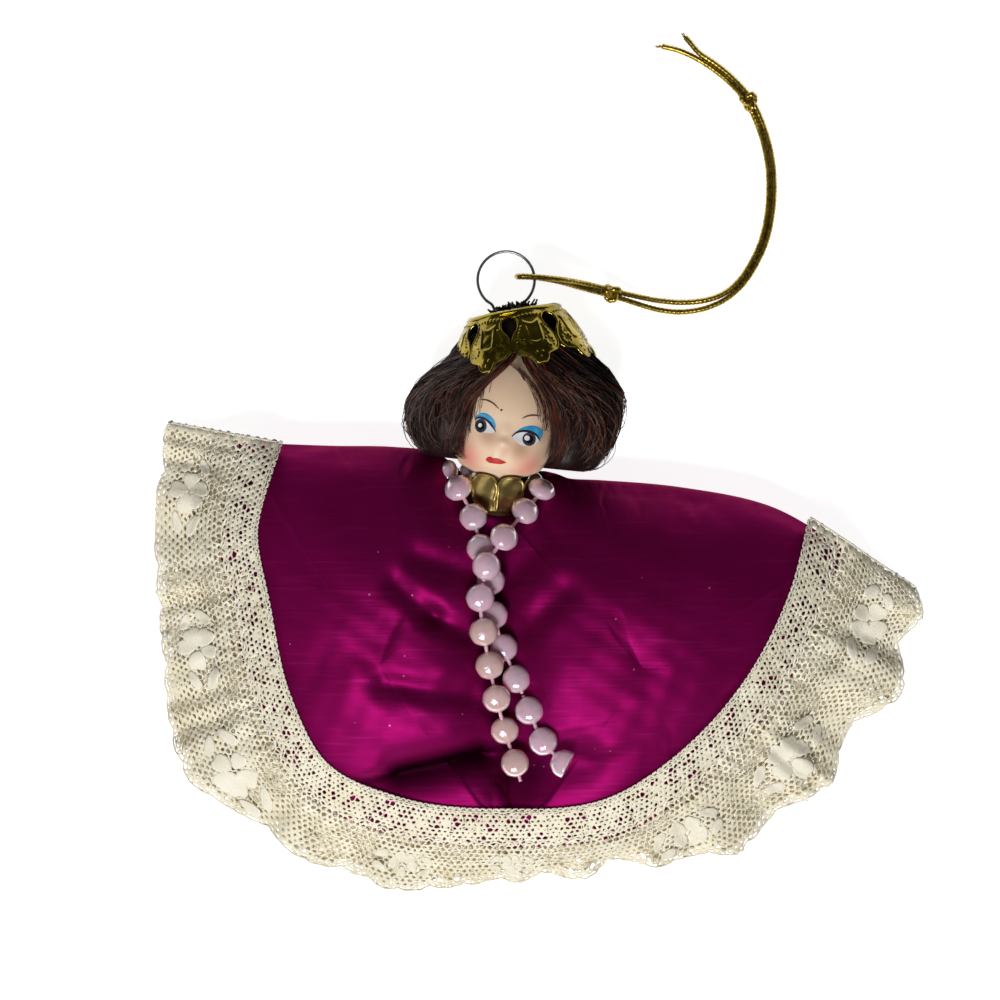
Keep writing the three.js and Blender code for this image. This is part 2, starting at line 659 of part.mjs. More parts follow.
// Place and outward direction on the rim, share 0 at the left corner and 1 at the right
function rimAt(share) {
  const at = rim.getPointAt(share);
  const along = rim.getTangentAt(share);
  const out = new THREE.Vector2(along.y, -along.x).normalize();
  const ends = smooth(1 - share * 10);
  const right = smooth(1 - (1 - share) * 10);
  out.lerp(new THREE.Vector2(...laceEndLeft), ends);
  out.lerp(new THREE.Vector2(...laceEndRight), right).normalize();
  return { at, out };
}

function reachAt(share) {
  const place = share * (laceReach.length - 1);
  const before = Math.min(Math.floor(place), laceReach.length - 2);
  return mix(laceReach[before], laceReach[before + 1], smooth(place - before));
}

// A point of the lace this far out from the edge of the satin that shows
function lacePlace(share, outwards) {
  const { at, out } = rimAt(share);
  const step = outwards - satinInset;
  return new THREE.Vector3(at.x + out.x * step, at.y + out.y * step, 0);
}

function laceStrip(rows, placeAt) {
  const upper = [];
  const lower = [];
  for (let row = 0; row <= rows; row += 1) {
    const line = Array.from({ length: laceColumns + 1 }, (_, i) => placeAt(i / laceColumns, row / rows));
    lower.push(line);
    upper.push(line.map((at) => new THREE.Vector3(at.x, at.y, at.z + laceThickness)));
  }
  return stripSolid(upper, lower);
}

// Lace keeps off the satin, bridges the furrow and stands off the two sharp corners of the cape
function overSatin(at) {
  const furrow = Math.abs(at.x - seamXAt(at.y)) < laceBridge ? laceBridge : 0;
  const heights = [-furrow, 0, furrow].map((dx) => lobeAt(at.x + dx, at.y).bare(at.x + dx, at.y).z);
  const corner = Math.min(...[leftCorner, rightCorner].map(([x, y]) => Math.hypot(at.x - x, at.y - y)));
  return Math.max(...heights, frontEdge) + slopeClearance + cornerLift * smooth(1.6 - corner / satinInset);
}

add("lace_heading", laceStrip(2, (share, across) => {
  const at = lacePlace(share, across * (headingWidth - clearance));
  at.z = overSatin(at);
  return at;
}), 0xebe4cd, 0.9);

add("lace_ruffle", laceStrip(ruffleRows, (share, across) => {
  const fold = Math.sin(share * ruffleFolds * 2 * Math.PI + 2.2 * Math.sin(share * 9));
  const outer = reachAt(share) + fold * 0.7 * across;
  const at = lacePlace(share, mix(headingWidth, outer, across ** 0.9));
  const start = overSatin(lacePlace(share, headingWidth));
  const fall = smooth(across / ruffleSkirt) * 0.75 + 0.25 * across;
  const hung = mix(start, ruffleRest, fall) + fold * ruffleFoldHeight * smooth(across * 1.5);
  const pastRim = Math.max(0, backLobe.bare(at.x, at.y).outside - 1);
  at.z = Math.max(clearance, hung, overSatin(at) - pastRim * 2.2);
  return at;
}), 0xe2dcc6, 0.9);

// Head pieces

add("head", geometryOf(solidOf(inHead(headSolid())).subtract(legHoles())), 0xebc8aa, 0.5);
add("wig", geometryOf(wigSolid()), 0x32201a, 0.7);

const crownCap = solidOf(
  geometryOf(stampedCap({
    petals: crownPetals, footRadius: crownRadius, holeRadius: 0, halfOutline: trefoil,
    length: crownPetalLength, width: crownPetalWidth, flare: crownFlare,
  })).applyMatrix4(crownFrame),
);
add("crown", geometryOf(crownCap.subtract(legHoles())), 0xb09020, 0.3, 1);

const collarCap = geometryOf(stampedCap({
  petals: collarPetals, footRadius: collarFootRadius, holeRadius: neckRadius + clearance, halfOutline: lobed,
  length: collarPetalLength, width: collarPetalWidth, flare: collarFlare,
}));
collarCap.rotateZ(Math.PI);
add("collar", inHead(collarCap), 0xb09020, 0.3, 1);

add("hanger_wire", bar(wirePoints(), wireRadius, wireStep), 0x9a9a9c, 0.3, 1);

// Bead string: two routes from behind the neck, down the chest to the end of each tail

const beadRadius = beadDiameter / 2;

// Height of a lentil's middle that rests on the satin
function restHeight(x, y) {
  let highest = -Infinity;
  for (let ring = 0; ring <= 4; ring += 1) {
    const r = (ring / 4) * beadRadius;
    const half = (beadThickness / 2) * Math.sqrt(1 - (ring / 4) ** 2);
    for (let spoke = 0; spoke < 12; spoke += 1) {
      const angle = (spoke / 12) * 2 * Math.PI;
      const [px, py] = [x + r * Math.cos(angle), y + r * Math.sin(angle)];
      highest = Math.max(highest, lobeAt(px, py).height(px, py) + half);
    }
  }
  return highest + slopeClearance;
}

// Height of a lentil's middle that lies across other lentils
function overBeads(x, y, others) {
  return others.reduce((highest, other) => {
    const apart = Math.hypot(x - other.x, y - other.y) / (beadDiameter + clearance);
    if (apart >= 1) return highest;
    return Math.max(highest, other.z + (beadThickness + slopeClearance) * Math.sqrt(1 - apart * apart));
  }, -Infinity);
}

// The string behind the neck, from the middle of the back to one side
function neckArc(side) {
  return [0, 32, 64, 88].map((degrees) => {
    const angle = THREE.MathUtils.degToRad(degrees);
    const across = side * stringRadius * Math.sin(angle);
    return new THREE.Vector3(
      neckBase[0] + across,
      stringLevel - across * stringLean,
      neckBase[2] - stringRadius * Math.cos(angle),
    );
  });
}

function stringRoute(side, chest) {
  const laid = chest.map(([x, y, z = 0]) => new THREE.Vector3(x, y, Math.max(z, restHeight(x, y))));
  return curveThrough([...neckArc(side), ...laid]);
}

// Distance along a route of the place nearest to a point on the chest
function distanceTo(curve, [x, y]) {
  const length = curve.getLength();
  const tries = Array.from({ length: stringSamples + 1 }, (_, i) => i / stringSamples);
  const best = tries.filter((share) => share > 0.3).reduce((a, b) => {
    const [pa, pb] = [curve.getPointAt(a), curve.getPointAt(b)];
    return Math.hypot(pb.x - x, pb.y - y) < Math.hypot(pa.x - x, pa.y - y) ? b : a;
  });
  return best * length;
}

// Beads spaced evenly both ways from the place where the tail bends
function beadPlaces(curve, { bend, neckCount, neckRatio, tailCount, tailRatio }) {
  const length = curve.getLength();
  const middle = distanceTo(curve, bend);
  const neckStep = middle / (neckCount * neckRatio);
  const tailStep = (length - middle) / (tailCount * tailRatio);
  const places = [];
  for (let i = -neckCount; i < tailCount; i += 1) {
    const distance = middle + (i + 0.5) * (i < 0 ? neckStep : tailStep);
    places.push({ at: curve.getPointAt(distance / length), inTail: i >= 0 });
  }
  return places;
}

const routeA = stringRoute(1, chestRouteA);
const routeB = stringRoute(-1, chestRouteB);
const beadsB = beadPlaces(routeB, stringB);
const beadsA = beadPlaces(routeA, stringA);
const onChest = ({ at }) => at.z > neckBase[2];
for (const { at } of beadsB.filter(onChest)) at.z = Math.max(at.z, restHeight(at.x, at.y));
for (const { at } of beadsA.filter(onChest)) {
  at.z = Math.max(at.z, restHeight(at.x, at.y), overBeads(at.x, at.y, beadsB.map((bead) => bead.at)));
}

// Ends of the thread on both sides of the place where a tail bends
function bendOf(beads) {
  const first = beads.findIndex(({ inTail }) => inTail);
  const [before, after] = [beads[first - 1].at, beads[first].at];
  const half = new THREE.Vector3().subVectors(after, before).setLength(tailGap / 2);
  const middle = new THREE.Vector3().addVectors(before, after).multiplyScalar(0.5);
  return { neckEnd: middle.clone().sub(half), tailStart: middle.clone().add(half) };
}

const [bendA, bendB] = [bendOf(beadsA), bendOf(beadsB)];

// A lentil with a bore along the thread, its flat side facing away from what it lies on
function beadSolid(at, along, facing, cut) {
  const mouth = Math.acos(beadBore / beadRadius);
  const profile = [-1, -0.5, 0, 0.5, 1].map((share) => {
    return [beadRadius * Math.cos(share * mouth), beadRadius * Math.sin(share * mouth)];
  });
  const lentil = turned([...profile, profile[0]], beadSides);
  lentil.rotateY(Math.PI / beadSides);
  lentil.scale(1, 1, beadThickness / beadDiameter);
  let bead = solidOf(lentil);
  if (cut) {
    const side = beadDiameter * 2;
    const block = new THREE.BoxGeometry(side, side, side).translate(0, endBeadCut + side / 2, 0);
    bead = bead.subtract(solidOf(block.rotateZ(-0.5)));
  }
  const across = new THREE.Vector3().crossVectors(along, facing).normalize();
  const out = new THREE.Vector3().crossVectors(across, along).normalize();
  return geometryOf(bead).applyMatrix4(new THREE.Matrix4().makeBasis(across, along, out).setPosition(at));
}

function facingOf(at) {
  if (onChest({ at })) return new THREE.Vector3(0, 0, 1);
  return new THREE.Vector3(at.x - neckBase[0], 0, at.z - neckBase[2]).normalize();
}

const stringColor = 0xe1b4c3;
let neckNumber = 0;
for (const [letter, beads] of [["a", beadsA], ["b", beadsB]]) {
  let tailNumber = 0;
  beads.forEach((bead, i) => {
    const before = beads[Math.max(i - 1, 0)].at;
    const after = beads[Math.min(i + 1, beads.length - 1)].at;
    bead.along = new THREE.Vector3().subVectors(after, before).normalize();
    const cut = letter === "b" && i === beads.length - 1;
    if (bead.inTail) tailNumber += 1;
    else neckNumber += 1;
    const number = String(neckNumber).padStart(2, "0");
    const name = bead.inTail ? `tail_${letter}_bead_${tailNumber}` : `neck_bead_${number}`;
    add(name, beadSolid(bead.at, bead.along, facingOf(bead.at), cut), stringColor, 0.15);
  });
}

// Threads run straight through each bead and are parted at each bend, so that the tails can lift
const through = ({ at, along }) => [-0.8, 0.8].map((part) => {
  return at.clone().addScaledVector(along, part * beadRadius);
});

const held = (beads, tail) => beads.filter(({ inTail }) => inTail === tail);
const line = (beads, tail) => held(beads, tail).flatMap(through);
const [neckLineA, neckLineB] = [line(beadsA, false), line(beadsB, false)];
const [tailLineA, tailLineB] = [line(beadsA, true), line(beadsB, true)];
const lastA = beadsA.at(-1);
const lastB = beadsB.at(-1);
add("neck_thread", bar([
  bendA.neckEnd, ...neckLineA.toReversed(), routeA.getPointAt(0), ...neckLineB,
  bendB.neckEnd,
], threadRadius, threadStep), stringColor, 0.6);
add("tail_a_thread", bar([
  bendA.tailStart, ...tailLineA, lastA.at.clone().addScaledVector(lastA.along, beadRadius + beadStem),
], threadRadius, threadStep), stringColor, 0.6);
add("tail_b_thread", bar([
  bendB.tailStart, ...tailLineB.slice(0, -1), lastB.at,
], threadRadius, threadStep), stringColor, 0.6);

// Gold cord

const cordRoute = cordPlaces.map(([x, y, z]) => point([ringMiddle[0] + x, ringMiddle[1] + y, z]));
const cordLine = curveThrough(cordRoute);
const cordLengths = cordLine.getLengths((cordRoute.length - 1) * routeSamples);
const cordLength = cordLengths.at(-1);
// Share of the cord's length up to a point of its route
const cordShare = (index) => cordLengths[index * routeSamples] / cordLength;
const wireGap = wireRadius + clearance + cordRadius; // strand to wire, middle to middle
const sideBySide = cordRadius + cordSpread;

// Half the way from one strand to the other: over and under the wire at the ring, side by side further on
function strandOffset(share) {
  const along = cordLine.getTangentAt(share);
  const sideways = new THREE.Vector3(-along.y, along.x, 0).normalize();
  const knot = cordShare(loopKnotAt);
  const endKnot = cordShare(endKnotAt);
  const turn = smooth((share - cordShare(1)) / (knot - cordShare(1))) * (Math.PI / 2);
  let half = mix(wireGap, sideBySide, smooth(share / knot));
  const parted = Math.sin(Math.PI * clamp01((share - knot) / 0.25)) ** 2;
  if (share > knot) half = sideBySide + (strandPart / 2) * parted;
  if (share > endKnot) half = sideBySide + (tailPart / 2) * smooth((share - endKnot) / (1 - endKnot));
  const up = new THREE.Vector3(0, 0, Math.cos(turn) * half);
  return up.addScaledVector(sideways, Math.sin(turn) * half);
}

function strand(side, from, to, count) {
  return Array.from({ length: count + 1 }, (_, i) => {
    const share = mix(from, to, i / count);
    return cordLine.getPointAt(share).addScaledVector(strandOffset(share), side);
  });
}

const knotShare = (knotLength / 2 + knotGap) / cordLength;
const gold = 0xb8962e;
const [loopKnot, endKnot] = [cordShare(loopKnotAt), cordShare(endKnotAt)];
const overWire = strand(1, 0, loopKnot - knotShare, 6);
const underWire = strand(-1, 0, loopKnot - knotShare, 6);
const bight = [60, 20, -20, -60].map((degrees) => {
  const angle = THREE.MathUtils.degToRad(degrees);
  const outwards = new THREE.Vector3(-Math.cos(angle), 0, Math.sin(angle));
  return cordRoute[0].clone().addScaledVector(outwards, wireGap);
});
const loopLine = [...overWire.toReversed(), ...bight, ...underWire];
add("cord_loop", bar(loopLine, cordRadius, loopStep), gold, 0.35, 0.8);

// A knot as a flattened barrel whose ends meet the strands
function knotAt(share) {
  const along = cordLine.getTangentAt(share);
  const sideways = new THREE.Vector3(-along.y, along.x, 0).normalize();
  const up = new THREE.Vector3().crossVectors(sideways, along);
  const [half, end] = [knotLength / 2, sideBySide + cordRadius + knotGap];
  const barrel = turned([[0, -half], [end, -half], [knotWidth / 2, -half / 3], [knotWidth / 2, half / 3],
    [end, half], [0, half]], 12);
  barrel.scale(1, 1, knotHeight / knotWidth);
  const turn = new THREE.Matrix4().makeBasis(sideways, along, up);
  return barrel.applyMatrix4(turn.setPosition(cordLine.getPointAt(share)));
}

add("cord_loop_knot", knotAt(loopKnot), gold, 0.35, 0.8);
add("cord_end_knot", knotAt(endKnot), gold, 0.35, 0.8);
for (const [name, side] of [["upper", 1], ["lower", -1]]) {
  const middle = strand(side, loopKnot + knotShare, endKnot - knotShare, strandPoints);
  add(`cord_strand_${name}`, bar(middle, cordRadius, cordStep), gold, 0.35, 0.8);
  const end = strand(side, endKnot + knotShare, 1 - (side > 0 ? 0.012 : 0), 6);
  add(`cord_end_${name}`, bar(end, cordRadius, cordStep), gold, 0.35, 0.8);
}

export default doll;
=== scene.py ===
import math

import bpy
import numpy as np
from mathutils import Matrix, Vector
from mathutils.bvhtree import BVHTree


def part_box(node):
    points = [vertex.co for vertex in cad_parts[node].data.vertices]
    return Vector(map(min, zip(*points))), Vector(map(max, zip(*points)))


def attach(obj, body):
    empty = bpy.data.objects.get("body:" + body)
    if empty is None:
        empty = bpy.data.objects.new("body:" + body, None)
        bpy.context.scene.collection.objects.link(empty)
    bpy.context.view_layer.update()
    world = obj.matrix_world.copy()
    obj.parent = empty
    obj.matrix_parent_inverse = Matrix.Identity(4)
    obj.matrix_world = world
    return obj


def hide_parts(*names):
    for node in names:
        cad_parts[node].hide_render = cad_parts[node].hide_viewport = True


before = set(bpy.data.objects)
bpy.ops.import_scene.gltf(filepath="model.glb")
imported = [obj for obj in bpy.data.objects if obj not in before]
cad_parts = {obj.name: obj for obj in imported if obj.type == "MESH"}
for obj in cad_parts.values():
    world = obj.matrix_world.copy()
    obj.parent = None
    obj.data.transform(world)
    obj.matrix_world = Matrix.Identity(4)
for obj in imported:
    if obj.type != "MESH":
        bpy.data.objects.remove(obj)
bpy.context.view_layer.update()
scene = bpy.context.scene
mm = 0.001  # lengths are in millimetres until a mesh is made
chance = np.random.default_rng(7)

# camera, straight above the table
cameraSettings = {"lens": 150, "sensor": 36, "clip": 0.01, "place": (-8.2, 14.6, 846.3)}
camera = bpy.data.objects.new("camera", bpy.data.cameras.new("camera"))
camera.data.lens = cameraSettings["lens"]
camera.data.sensor_width = cameraSettings["sensor"]
camera.data.clip_start = cameraSettings["clip"]
camera.location = [v * mm for v in cameraSettings["place"]]
scene.collection.objects.link(camera)
scene.camera = camera
scene.view_settings.view_transform = "Standard"
print("camera placed")


# small tools for points, paths and meshes

def unit(vectors):
    return vectors / np.maximum(np.linalg.norm(vectors, axis=-1, keepdims=True), 1e-9)


def mix(a, b, share):
    return a + (b - a) * share


def smooth(value):
    value = np.clip(value, 0, 1)
    return value * value * (3 - 2 * value)


def around(count):  # angles of evenly spaced places on a circle
    return np.arange(count) / count * 2 * math.pi


def catmull(points, perSpan):  # a smooth line through points, as many samples in each span
    points = np.array(points, float)
    ends = np.vstack([2 * points[0] - points[1], points, 2 * points[-1] - points[-2]])
    line = []
    for i in range(len(points) - 1):
        p0, p1, p2, p3 = ends[i:i + 4]
        d0, d1, d2 = [max(np.linalg.norm(b - a) ** 0.5, 1e-6) for a, b in ((p0, p1), (p1, p2), (p2, p3))]
        m1 = ((p1 - p0) / d0 - (p2 - p0) / (d0 + d1) + (p2 - p1) / d1) * d1
        m2 = ((p2 - p1) / d1 - (p3 - p1) / (d1 + d2) + (p3 - p2) / d2) * d1
        s = (np.arange(perSpan) / perSpan)[:, None]
        line.append((2 * s**3 - 3 * s**2 + 1) * p1 + (s**3 - 2 * s**2 + s) * m1
                    + (3 * s**2 - 2 * s**3) * p2 + (s**3 - s**2) * m2)
    return np.vstack(line + [points[-1:]])


def lengthsAlong(path):
    return np.concatenate([[0], np.cumsum(np.linalg.norm(np.diff(path, axis=0), axis=1))])


def pick(path, distances):  # places on a path at distances from its start
    lengths = lengthsAlong(path)
    return np.stack([np.interp(distances, lengths, path[:, axis]) for axis in range(path.shape[1])], axis=1)


def spaced(path, step):
    total = lengthsAlong(path)[-1]
    return pick(path, np.linspace(0, total, max(2, int(round(total / step)) + 1)))


class Shape:  # points and faces of one piece
    def __init__(self, points=None, faces=()):
        self.points, self.faces, self.finishes, self.count = [], [], [], 0
        if points is not None:
            self.add(points, faces)

    def add(self, points, faces, finish=0):
        points = np.asarray(points, float).reshape(-1, 3)
        self.points.append(points)
        self.faces += [[i + self.count for i in face] for face in faces]
        self.finishes += [finish] * len(faces)
        self.count += len(points)


def gridFaces(rows, columns, closed=False):  # four-sided faces over rows of points
    faces = []
    for start in range(0, (rows - 1) * columns, columns):
        for c in range(columns if closed else columns - 1):
            ahead = (c + 1) % columns
            faces.append([start + c, start + ahead, start + columns + ahead, start + columns + c])
    return faces


def domeFaces(rows, columns):  # closed rows of points, with a fan to one last point
    last = (rows - 1) * columns
    fan = [[last + c, last + (c + 1) % columns, last + columns] for c in range(columns)]
    return gridFaces(rows, columns, True) + fan


def flipped(faces):
    return [face[::-1] for face in faces]


def tube(path, radius, sides=8, swell=None, ring=False):
    path = np.asarray(path, float)
    along = unit(np.roll(path, -1, 0) - np.roll(path, 1, 0) if ring else np.gradient(path, axis=0))
    side = np.cross(along[0], (0, 0, 1) if abs(along[0][2]) < 0.9 else (1, 0, 0))
    across = []
    for step in along:
        side = unit(side - step * np.dot(side, step))
        across.append(side)
    across = np.array(across)
    up = np.cross(along, across)
    turn = around(sides)
    reach = np.broadcast_to(np.asarray(radius, float).reshape(-1, 1), (len(path), sides)).copy()
    if swell is not None:
        reach *= swell(lengthsAlong(path)[:, None], turn[None, :])
    points = path[:, None, :] + reach[:, :, None] * (
        np.cos(turn)[None, :, None] * across[:, None, :] + np.sin(turn)[None, :, None] * up[:, None, :])
    faces = gridFaces(len(path), sides, True)
    last = (len(path) - 1) * sides
    if ring:
        faces += [[last + c, last + (c + 1) % sides, (c + 1) % sides, c] for c in range(sides)]
    else:
        faces += [list(range(sides))[::-1], list(range(last, last + sides))]
    return points.reshape(-1, 3), faces


def makePiece(name, shape, finishes, body, nodes=()):
    mesh = bpy.data.meshes.new(name)
    mesh.from_pydata((np.vstack(shape.points) * mm).tolist(), [], shape.faces)
    for finish in finishes:
        mesh.materials.append(finish)
    mesh.polygons.foreach_set("material_index", shape.finishes)
    mesh.polygons.foreach_set("use_smooth", [True] * len(mesh.polygons))
    mesh.update()
    piece = bpy.data.objects.new(name, mesh)
    scene.collection.objects.link(piece)
    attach(piece, body)
    if nodes:
        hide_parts(*nodes)
    return piece


# tools for shaders

def paint(r, g, b):  # a colour as it is seen, for a shader
    levels = [v / 255 / 12.92 if v <= 10 else ((v / 255 + 0.055) / 1.055) ** 2.4 for v in (r, g, b)]
    return (*levels, 1.0)


def feed(tree, socket, value):  # a constant, or a link from another node's output
    if isinstance(value, bpy.types.NodeSocket):
        tree.links.new(value, socket)
    else:
        socket.default_value = value


def addNode(tree, kind, *listed, **named):  # inputs by number or name, settings in small letters
    node = tree.nodes.new("ShaderNode" + kind)
    for setting in filter(str.islower, named):
        setattr(node, setting, named[setting])
    for number, value in enumerate(listed):
        feed(tree, node.inputs[number], value)
    for socket, value in named.items():
        if not socket.islower():
            feed(tree, node.inputs[socket.replace("_", " ")], value)
    return node.outputs


def blend(tree, share, first, second):  # one colour laid over another
    return addNode(tree, "Mix", data_type="RGBA", Factor=share, A=first, B=second)["Result"]


def newGroup(name, inputs, outputs):
    group = bpy.data.node_groups.new(name, "ShaderNodeTree")
    for socket, value in inputs.items():
        kind = "NodeSocketFloat" if isinstance(value, float) else "NodeSocketColor"
        group.interface.new_socket(name=socket, in_out="INPUT", socket_type=kind).default_value = value
    for socket in outputs:
        kind = "NodeSocketColor" if socket == "Colour" else "NodeSocketFloat"
        group.interface.new_socket(name=socket, in_out="OUTPUT", socket_type=kind)
    return group, group.nodes.new("NodeGroupInput").outputs, group.nodes.new("NodeGroupOutput").inputs


def makeDriftGroup():  # two colours that drift into each other over the surface
    inputs = {"Colour A": (1, 1, 1, 1), "Colour B": (0, 0, 0, 1), "Scale": 200.0, "Spread": 0.5}
    group, given, out = newGroup("colourDrift", inputs, ("Colour",))
    where = addNode(group, "TexCoord")["Object"]
    noise = addNode(group, "TexNoise", Vector=where, Scale=given["Scale"], Detail=4)["Fac"]
    level = addNode(group, "MapRange", Value=noise, From_Min=0.3, From_Max=0.7,
                    To_Max=given["Spread"])["Result"]
    feed(group, out["Colour"], blend(group, level, given["Colour A"], given["Colour B"]))
    return group


def makeThreadGroup():  # fine threads that run along X, with slubs, as a height
    group, given, out = newGroup("threadLines", {"Along": 40.0, "Across": 2500.0}, ("Height", "Slub"))
    where = addNode(group, "SeparateXYZ", Vector=addNode(group, "TexCoord")["Object"])
    stretched = [addNode(group, "Math", where[axis], given[measure], operation="MULTIPLY")[0]
                 for axis, measure in zip("XYZ", ("Along", "Across", "Along"))]
    joined = addNode(group, "CombineXYZ", *stretched)["Vector"]
    fine = addNode(group, "TexNoise", Vector=joined, Scale=1.0, Detail=3)["Fac"]
    feed(group, out["Height"], fine)
    feed(group, out["Slub"], addNode(group, "MapRange", Value=fine, From_Min=0.56, From_Max=0.76)["Result"])
    return group


def makeGrainGroup():  # fine grain as a height and a roughness
    inputs = {"Scale": 900.0, "Rough Low": 0.3, "Rough High": 0.5}
    group, given, out = newGroup("fineGrain", inputs, ("Height", "Roughness"))
    where = addNode(group, "TexCoord")["Object"]
    noise = addNode(group, "TexNoise", Vector=where, Scale=given["Scale"], Detail=5)["Fac"]
    level = addNode(group, "MapRange", Value=noise, To_Min=given["Rough Low"], To_Max=given["Rough High"])
    feed(group, out["Height"], noise)
    feed(group, out["Roughness"], level["Result"])
    return group


driftGroup, threadGroup, grainGroup = makeDriftGroup(), makeThreadGroup(), makeGrainGroup()


def newFinish(name, **sockets):
    finish = bpy.data.materials.new(name)
    finish.use_nodes = True
    shader = finish.node_tree.nodes["Principled BSDF"].inputs
    for socket, value in sockets.items():
        shader[socket.replace("_", " ")].default_value = value
    return finish, finish.node_tree, shader


def drifting(tree, first, second, scale):
    return addNode(tree, "Group", node_tree=driftGroup, Colour_A=paint(*first), Colour_B=paint(*second),
                   Scale=scale, Spread=1.0)["Colour"]


def dress(tree, shader, colour, scale, rough, bump, height=None):  # colour, roughness and bumps of a finish
    grain = addNode(tree, "Group", node_tree=grainGroup, Scale=scale, Rough_Low=rough[0], Rough_High=rough[1])
    height = grain["Height"] if height is None else height
    bumps = addNode(tree, "Bump", Strength=bump[0], Distance=bump[1] * mm, Height=height)
    feed(tree, shader["Base Color"], colour)
    feed(tree, shader["Roughness"], grain["Roughness"])
    feed(tree, shader["Normal"], bumps["Normal"])


def driftFinish(name, first, second, scale, grainScale, rough, bump=(0.3, 0.05), **sockets):
    finish, tree, shader = newFinish(name, **sockets)
    dress(tree, shader, drifting(tree, first, second, scale), grainScale, rough, bump)
    return finish


# finishes
# satin colours; the deep colour is painted shade, laid into the satin's folds
satinSettings = {
    "colours": ((122, 7, 74), (134, 10, 84)), "drift": 60.0, "sheen": (226, 60, 150), "slub": (206, 50, 146),
    "slubShare": 0.14, "lint": (236, 180, 206), "lintScale": 210.0, "deep": (24, 1, 11),
}


def makeSatin():
    s = satinSettings
    finish, tree, shader = newFinish("satin", Metallic=0.75, Specular_IOR_Level=0.2,
                                     Specular_Tint=paint(*s["sheen"]))
    colour = drifting(tree, *s["colours"], s["drift"])
    threads = addNode(tree, "Group", node_tree=threadGroup, Along=90.0, Across=1500.0)
    slubs = addNode(tree, "Math", threads["Slub"], s["slubShare"], operation="MULTIPLY")[0]
    where = addNode(tree, "TexCoord")["Object"]
    lint = addNode(tree, "TexVoronoi", Vector=where, Scale=s["lintScale"])["Distance"]
    specks = addNode(tree, "MapRange", Value=lint, From_Min=0.02, From_Max=0.045, To_Min=0.55,
                     To_Max=0.0)["Result"]
    paintedFoldShade = addNode(tree, "Attribute", attribute_name="fold")["Fac"]  # painted shade: 1 deep in a fold, where the satin is painted dark
    # slubs and lint are the weave's own; the deep colour is painted shade in the folds
    for tint, mask in (("slub", slubs), ("lint", specks), ("deep", paintedFoldShade)):
        colour = blend(tree, mask, colour, paint(*s[tint]))
    dress(tree, shader, colour, 500.0, (0.5, 0.6), (0.35, 0.12), threads["Height"])
    return finish


def beadFinish(name, first, second):  # clear moulded plastic with a thin rainbow coat
    return driftFinish(name, first, second, 240.0, 700.0, (0.06, 0.14), (0.05, 0.03), Specular_IOR_Level=0.6,
                       Coat_Weight=1.0, Coat_Roughness=0.05, Thin_Film_Thickness=330.0,
                       Transmission_Weight=0.35, Subsurface_Weight=0.3, Subsurface_Scale=2.0 * mm)


satin = makeSatin()
finishSettings = {  # two colours, scales of their drift and of the grain, roughness, bumps, metal
    "laceNet": ((232, 222, 194), (247, 240, 218), 120.0, 2600.0, (0.75, 0.95), (0.6, 0.12), 0.0),
    "laceThread": ((244, 239, 222), (232, 224, 202), 200.0, 3000.0, (0.6, 0.85), (0.7, 0.1), 0.0),
    "crownGold": ((160, 140, 50), (108, 95, 36), 260.0, 1400.0, (0.1, 0.2), (0.12, 0.03), 1.0),
    "collarBrass": ((210, 190, 124), (164, 144, 84), 260.0, 900.0, (0.36, 0.5), (0.3, 0.06), 1.0),
    "wireSteel": ((150, 152, 158), (110, 112, 120), 500.0, 2500.0, (0.22, 0.4), (0.1, 0.02), 1.0),
    "cordGold": ((206, 180, 84), (120, 98, 30), 1400.0, 4000.0, (0.2, 0.4), (0.3, 0.05), 1.0),
    "beadThread": ((228, 184, 200), (206, 156, 178), 600.0, 2500.0, (0.35, 0.5), (0.3, 0.05), 0.0),
}
finishes = {name: driftFinish(name, *row[:-1], Metallic=row[-1]) for name, row in finishSettings.items()}
beadPink = beadFinish("beadPink", (248, 216, 226), (238, 204, 224))
beadPeach = beadFinish("beadPeach", (246, 214, 208), (236, 200, 196))
print("finishes mixed")

# gold cord, doubled through the wire loop
cordSettings = {
    "radius": 0.6, "beside": 0.54, "wireGap": 0.98, "strandPart": 0.9, "cuts": (1.0, 0.966), "tipFrom": 0.92,
    "tipLift": 3.2, "braidPitch": 1.7, "braidDepth": 0.13, "loopEnd": (-3.75, 59.3, 13.0), "loopKnot": 4,
    "endKnot": 17, "perSpan": 30, "samples": 430, "step": 0.27, "partSpan": 0.25,
    "knotSize": (0.6, 0.48, 0.5), "knotRadius": 0.68,
    "frays": 9, "frayRadius": 0.09, "fraySpread": 0.35, "frayReach": (0.9, 2.0),
    "route": [(-3.75, 59.3, 13), (-1.6, 59.2, 13), (3, 58.7, 11.9), (8, 57.8, 8.6), (14.4, 56.4, 4.8),
              (19.5, 55.1, 2.6), (24, 54.1, 1.35), (28.5, 53.7, 0.75), (33.4, 54.3, 0.65), (37.4, 55.9, 0.65),
              (40.6, 58.6, 0.65), (43.4, 62.8, 0.65), (45.4, 67.4, 0.65), (46.5, 72.4, 0.65),
              (46.9, 78, 0.65), (46.5, 83.6, 0.65), (45, 89.6, 0.7), (42.2, 95.6, 1.2), (38.4, 100, 0.7),
              (33.4, 103.8, 0.65), (28.6, 106.2, 0.65), (24.8, 107.2, 0.65)],
}


def braid(lengths, turn):  # plaited threads round the cord
    twist = lengths / cordSettings["braidPitch"] * 2 * math.pi
    depth = cordSettings["braidDepth"]
    plait = np.cos(2 * turn + twist) * np.cos(2 * turn - twist)
    return 1 - depth + depth * plait + 0.05 * np.cos(5 * turn + 3 * twist)


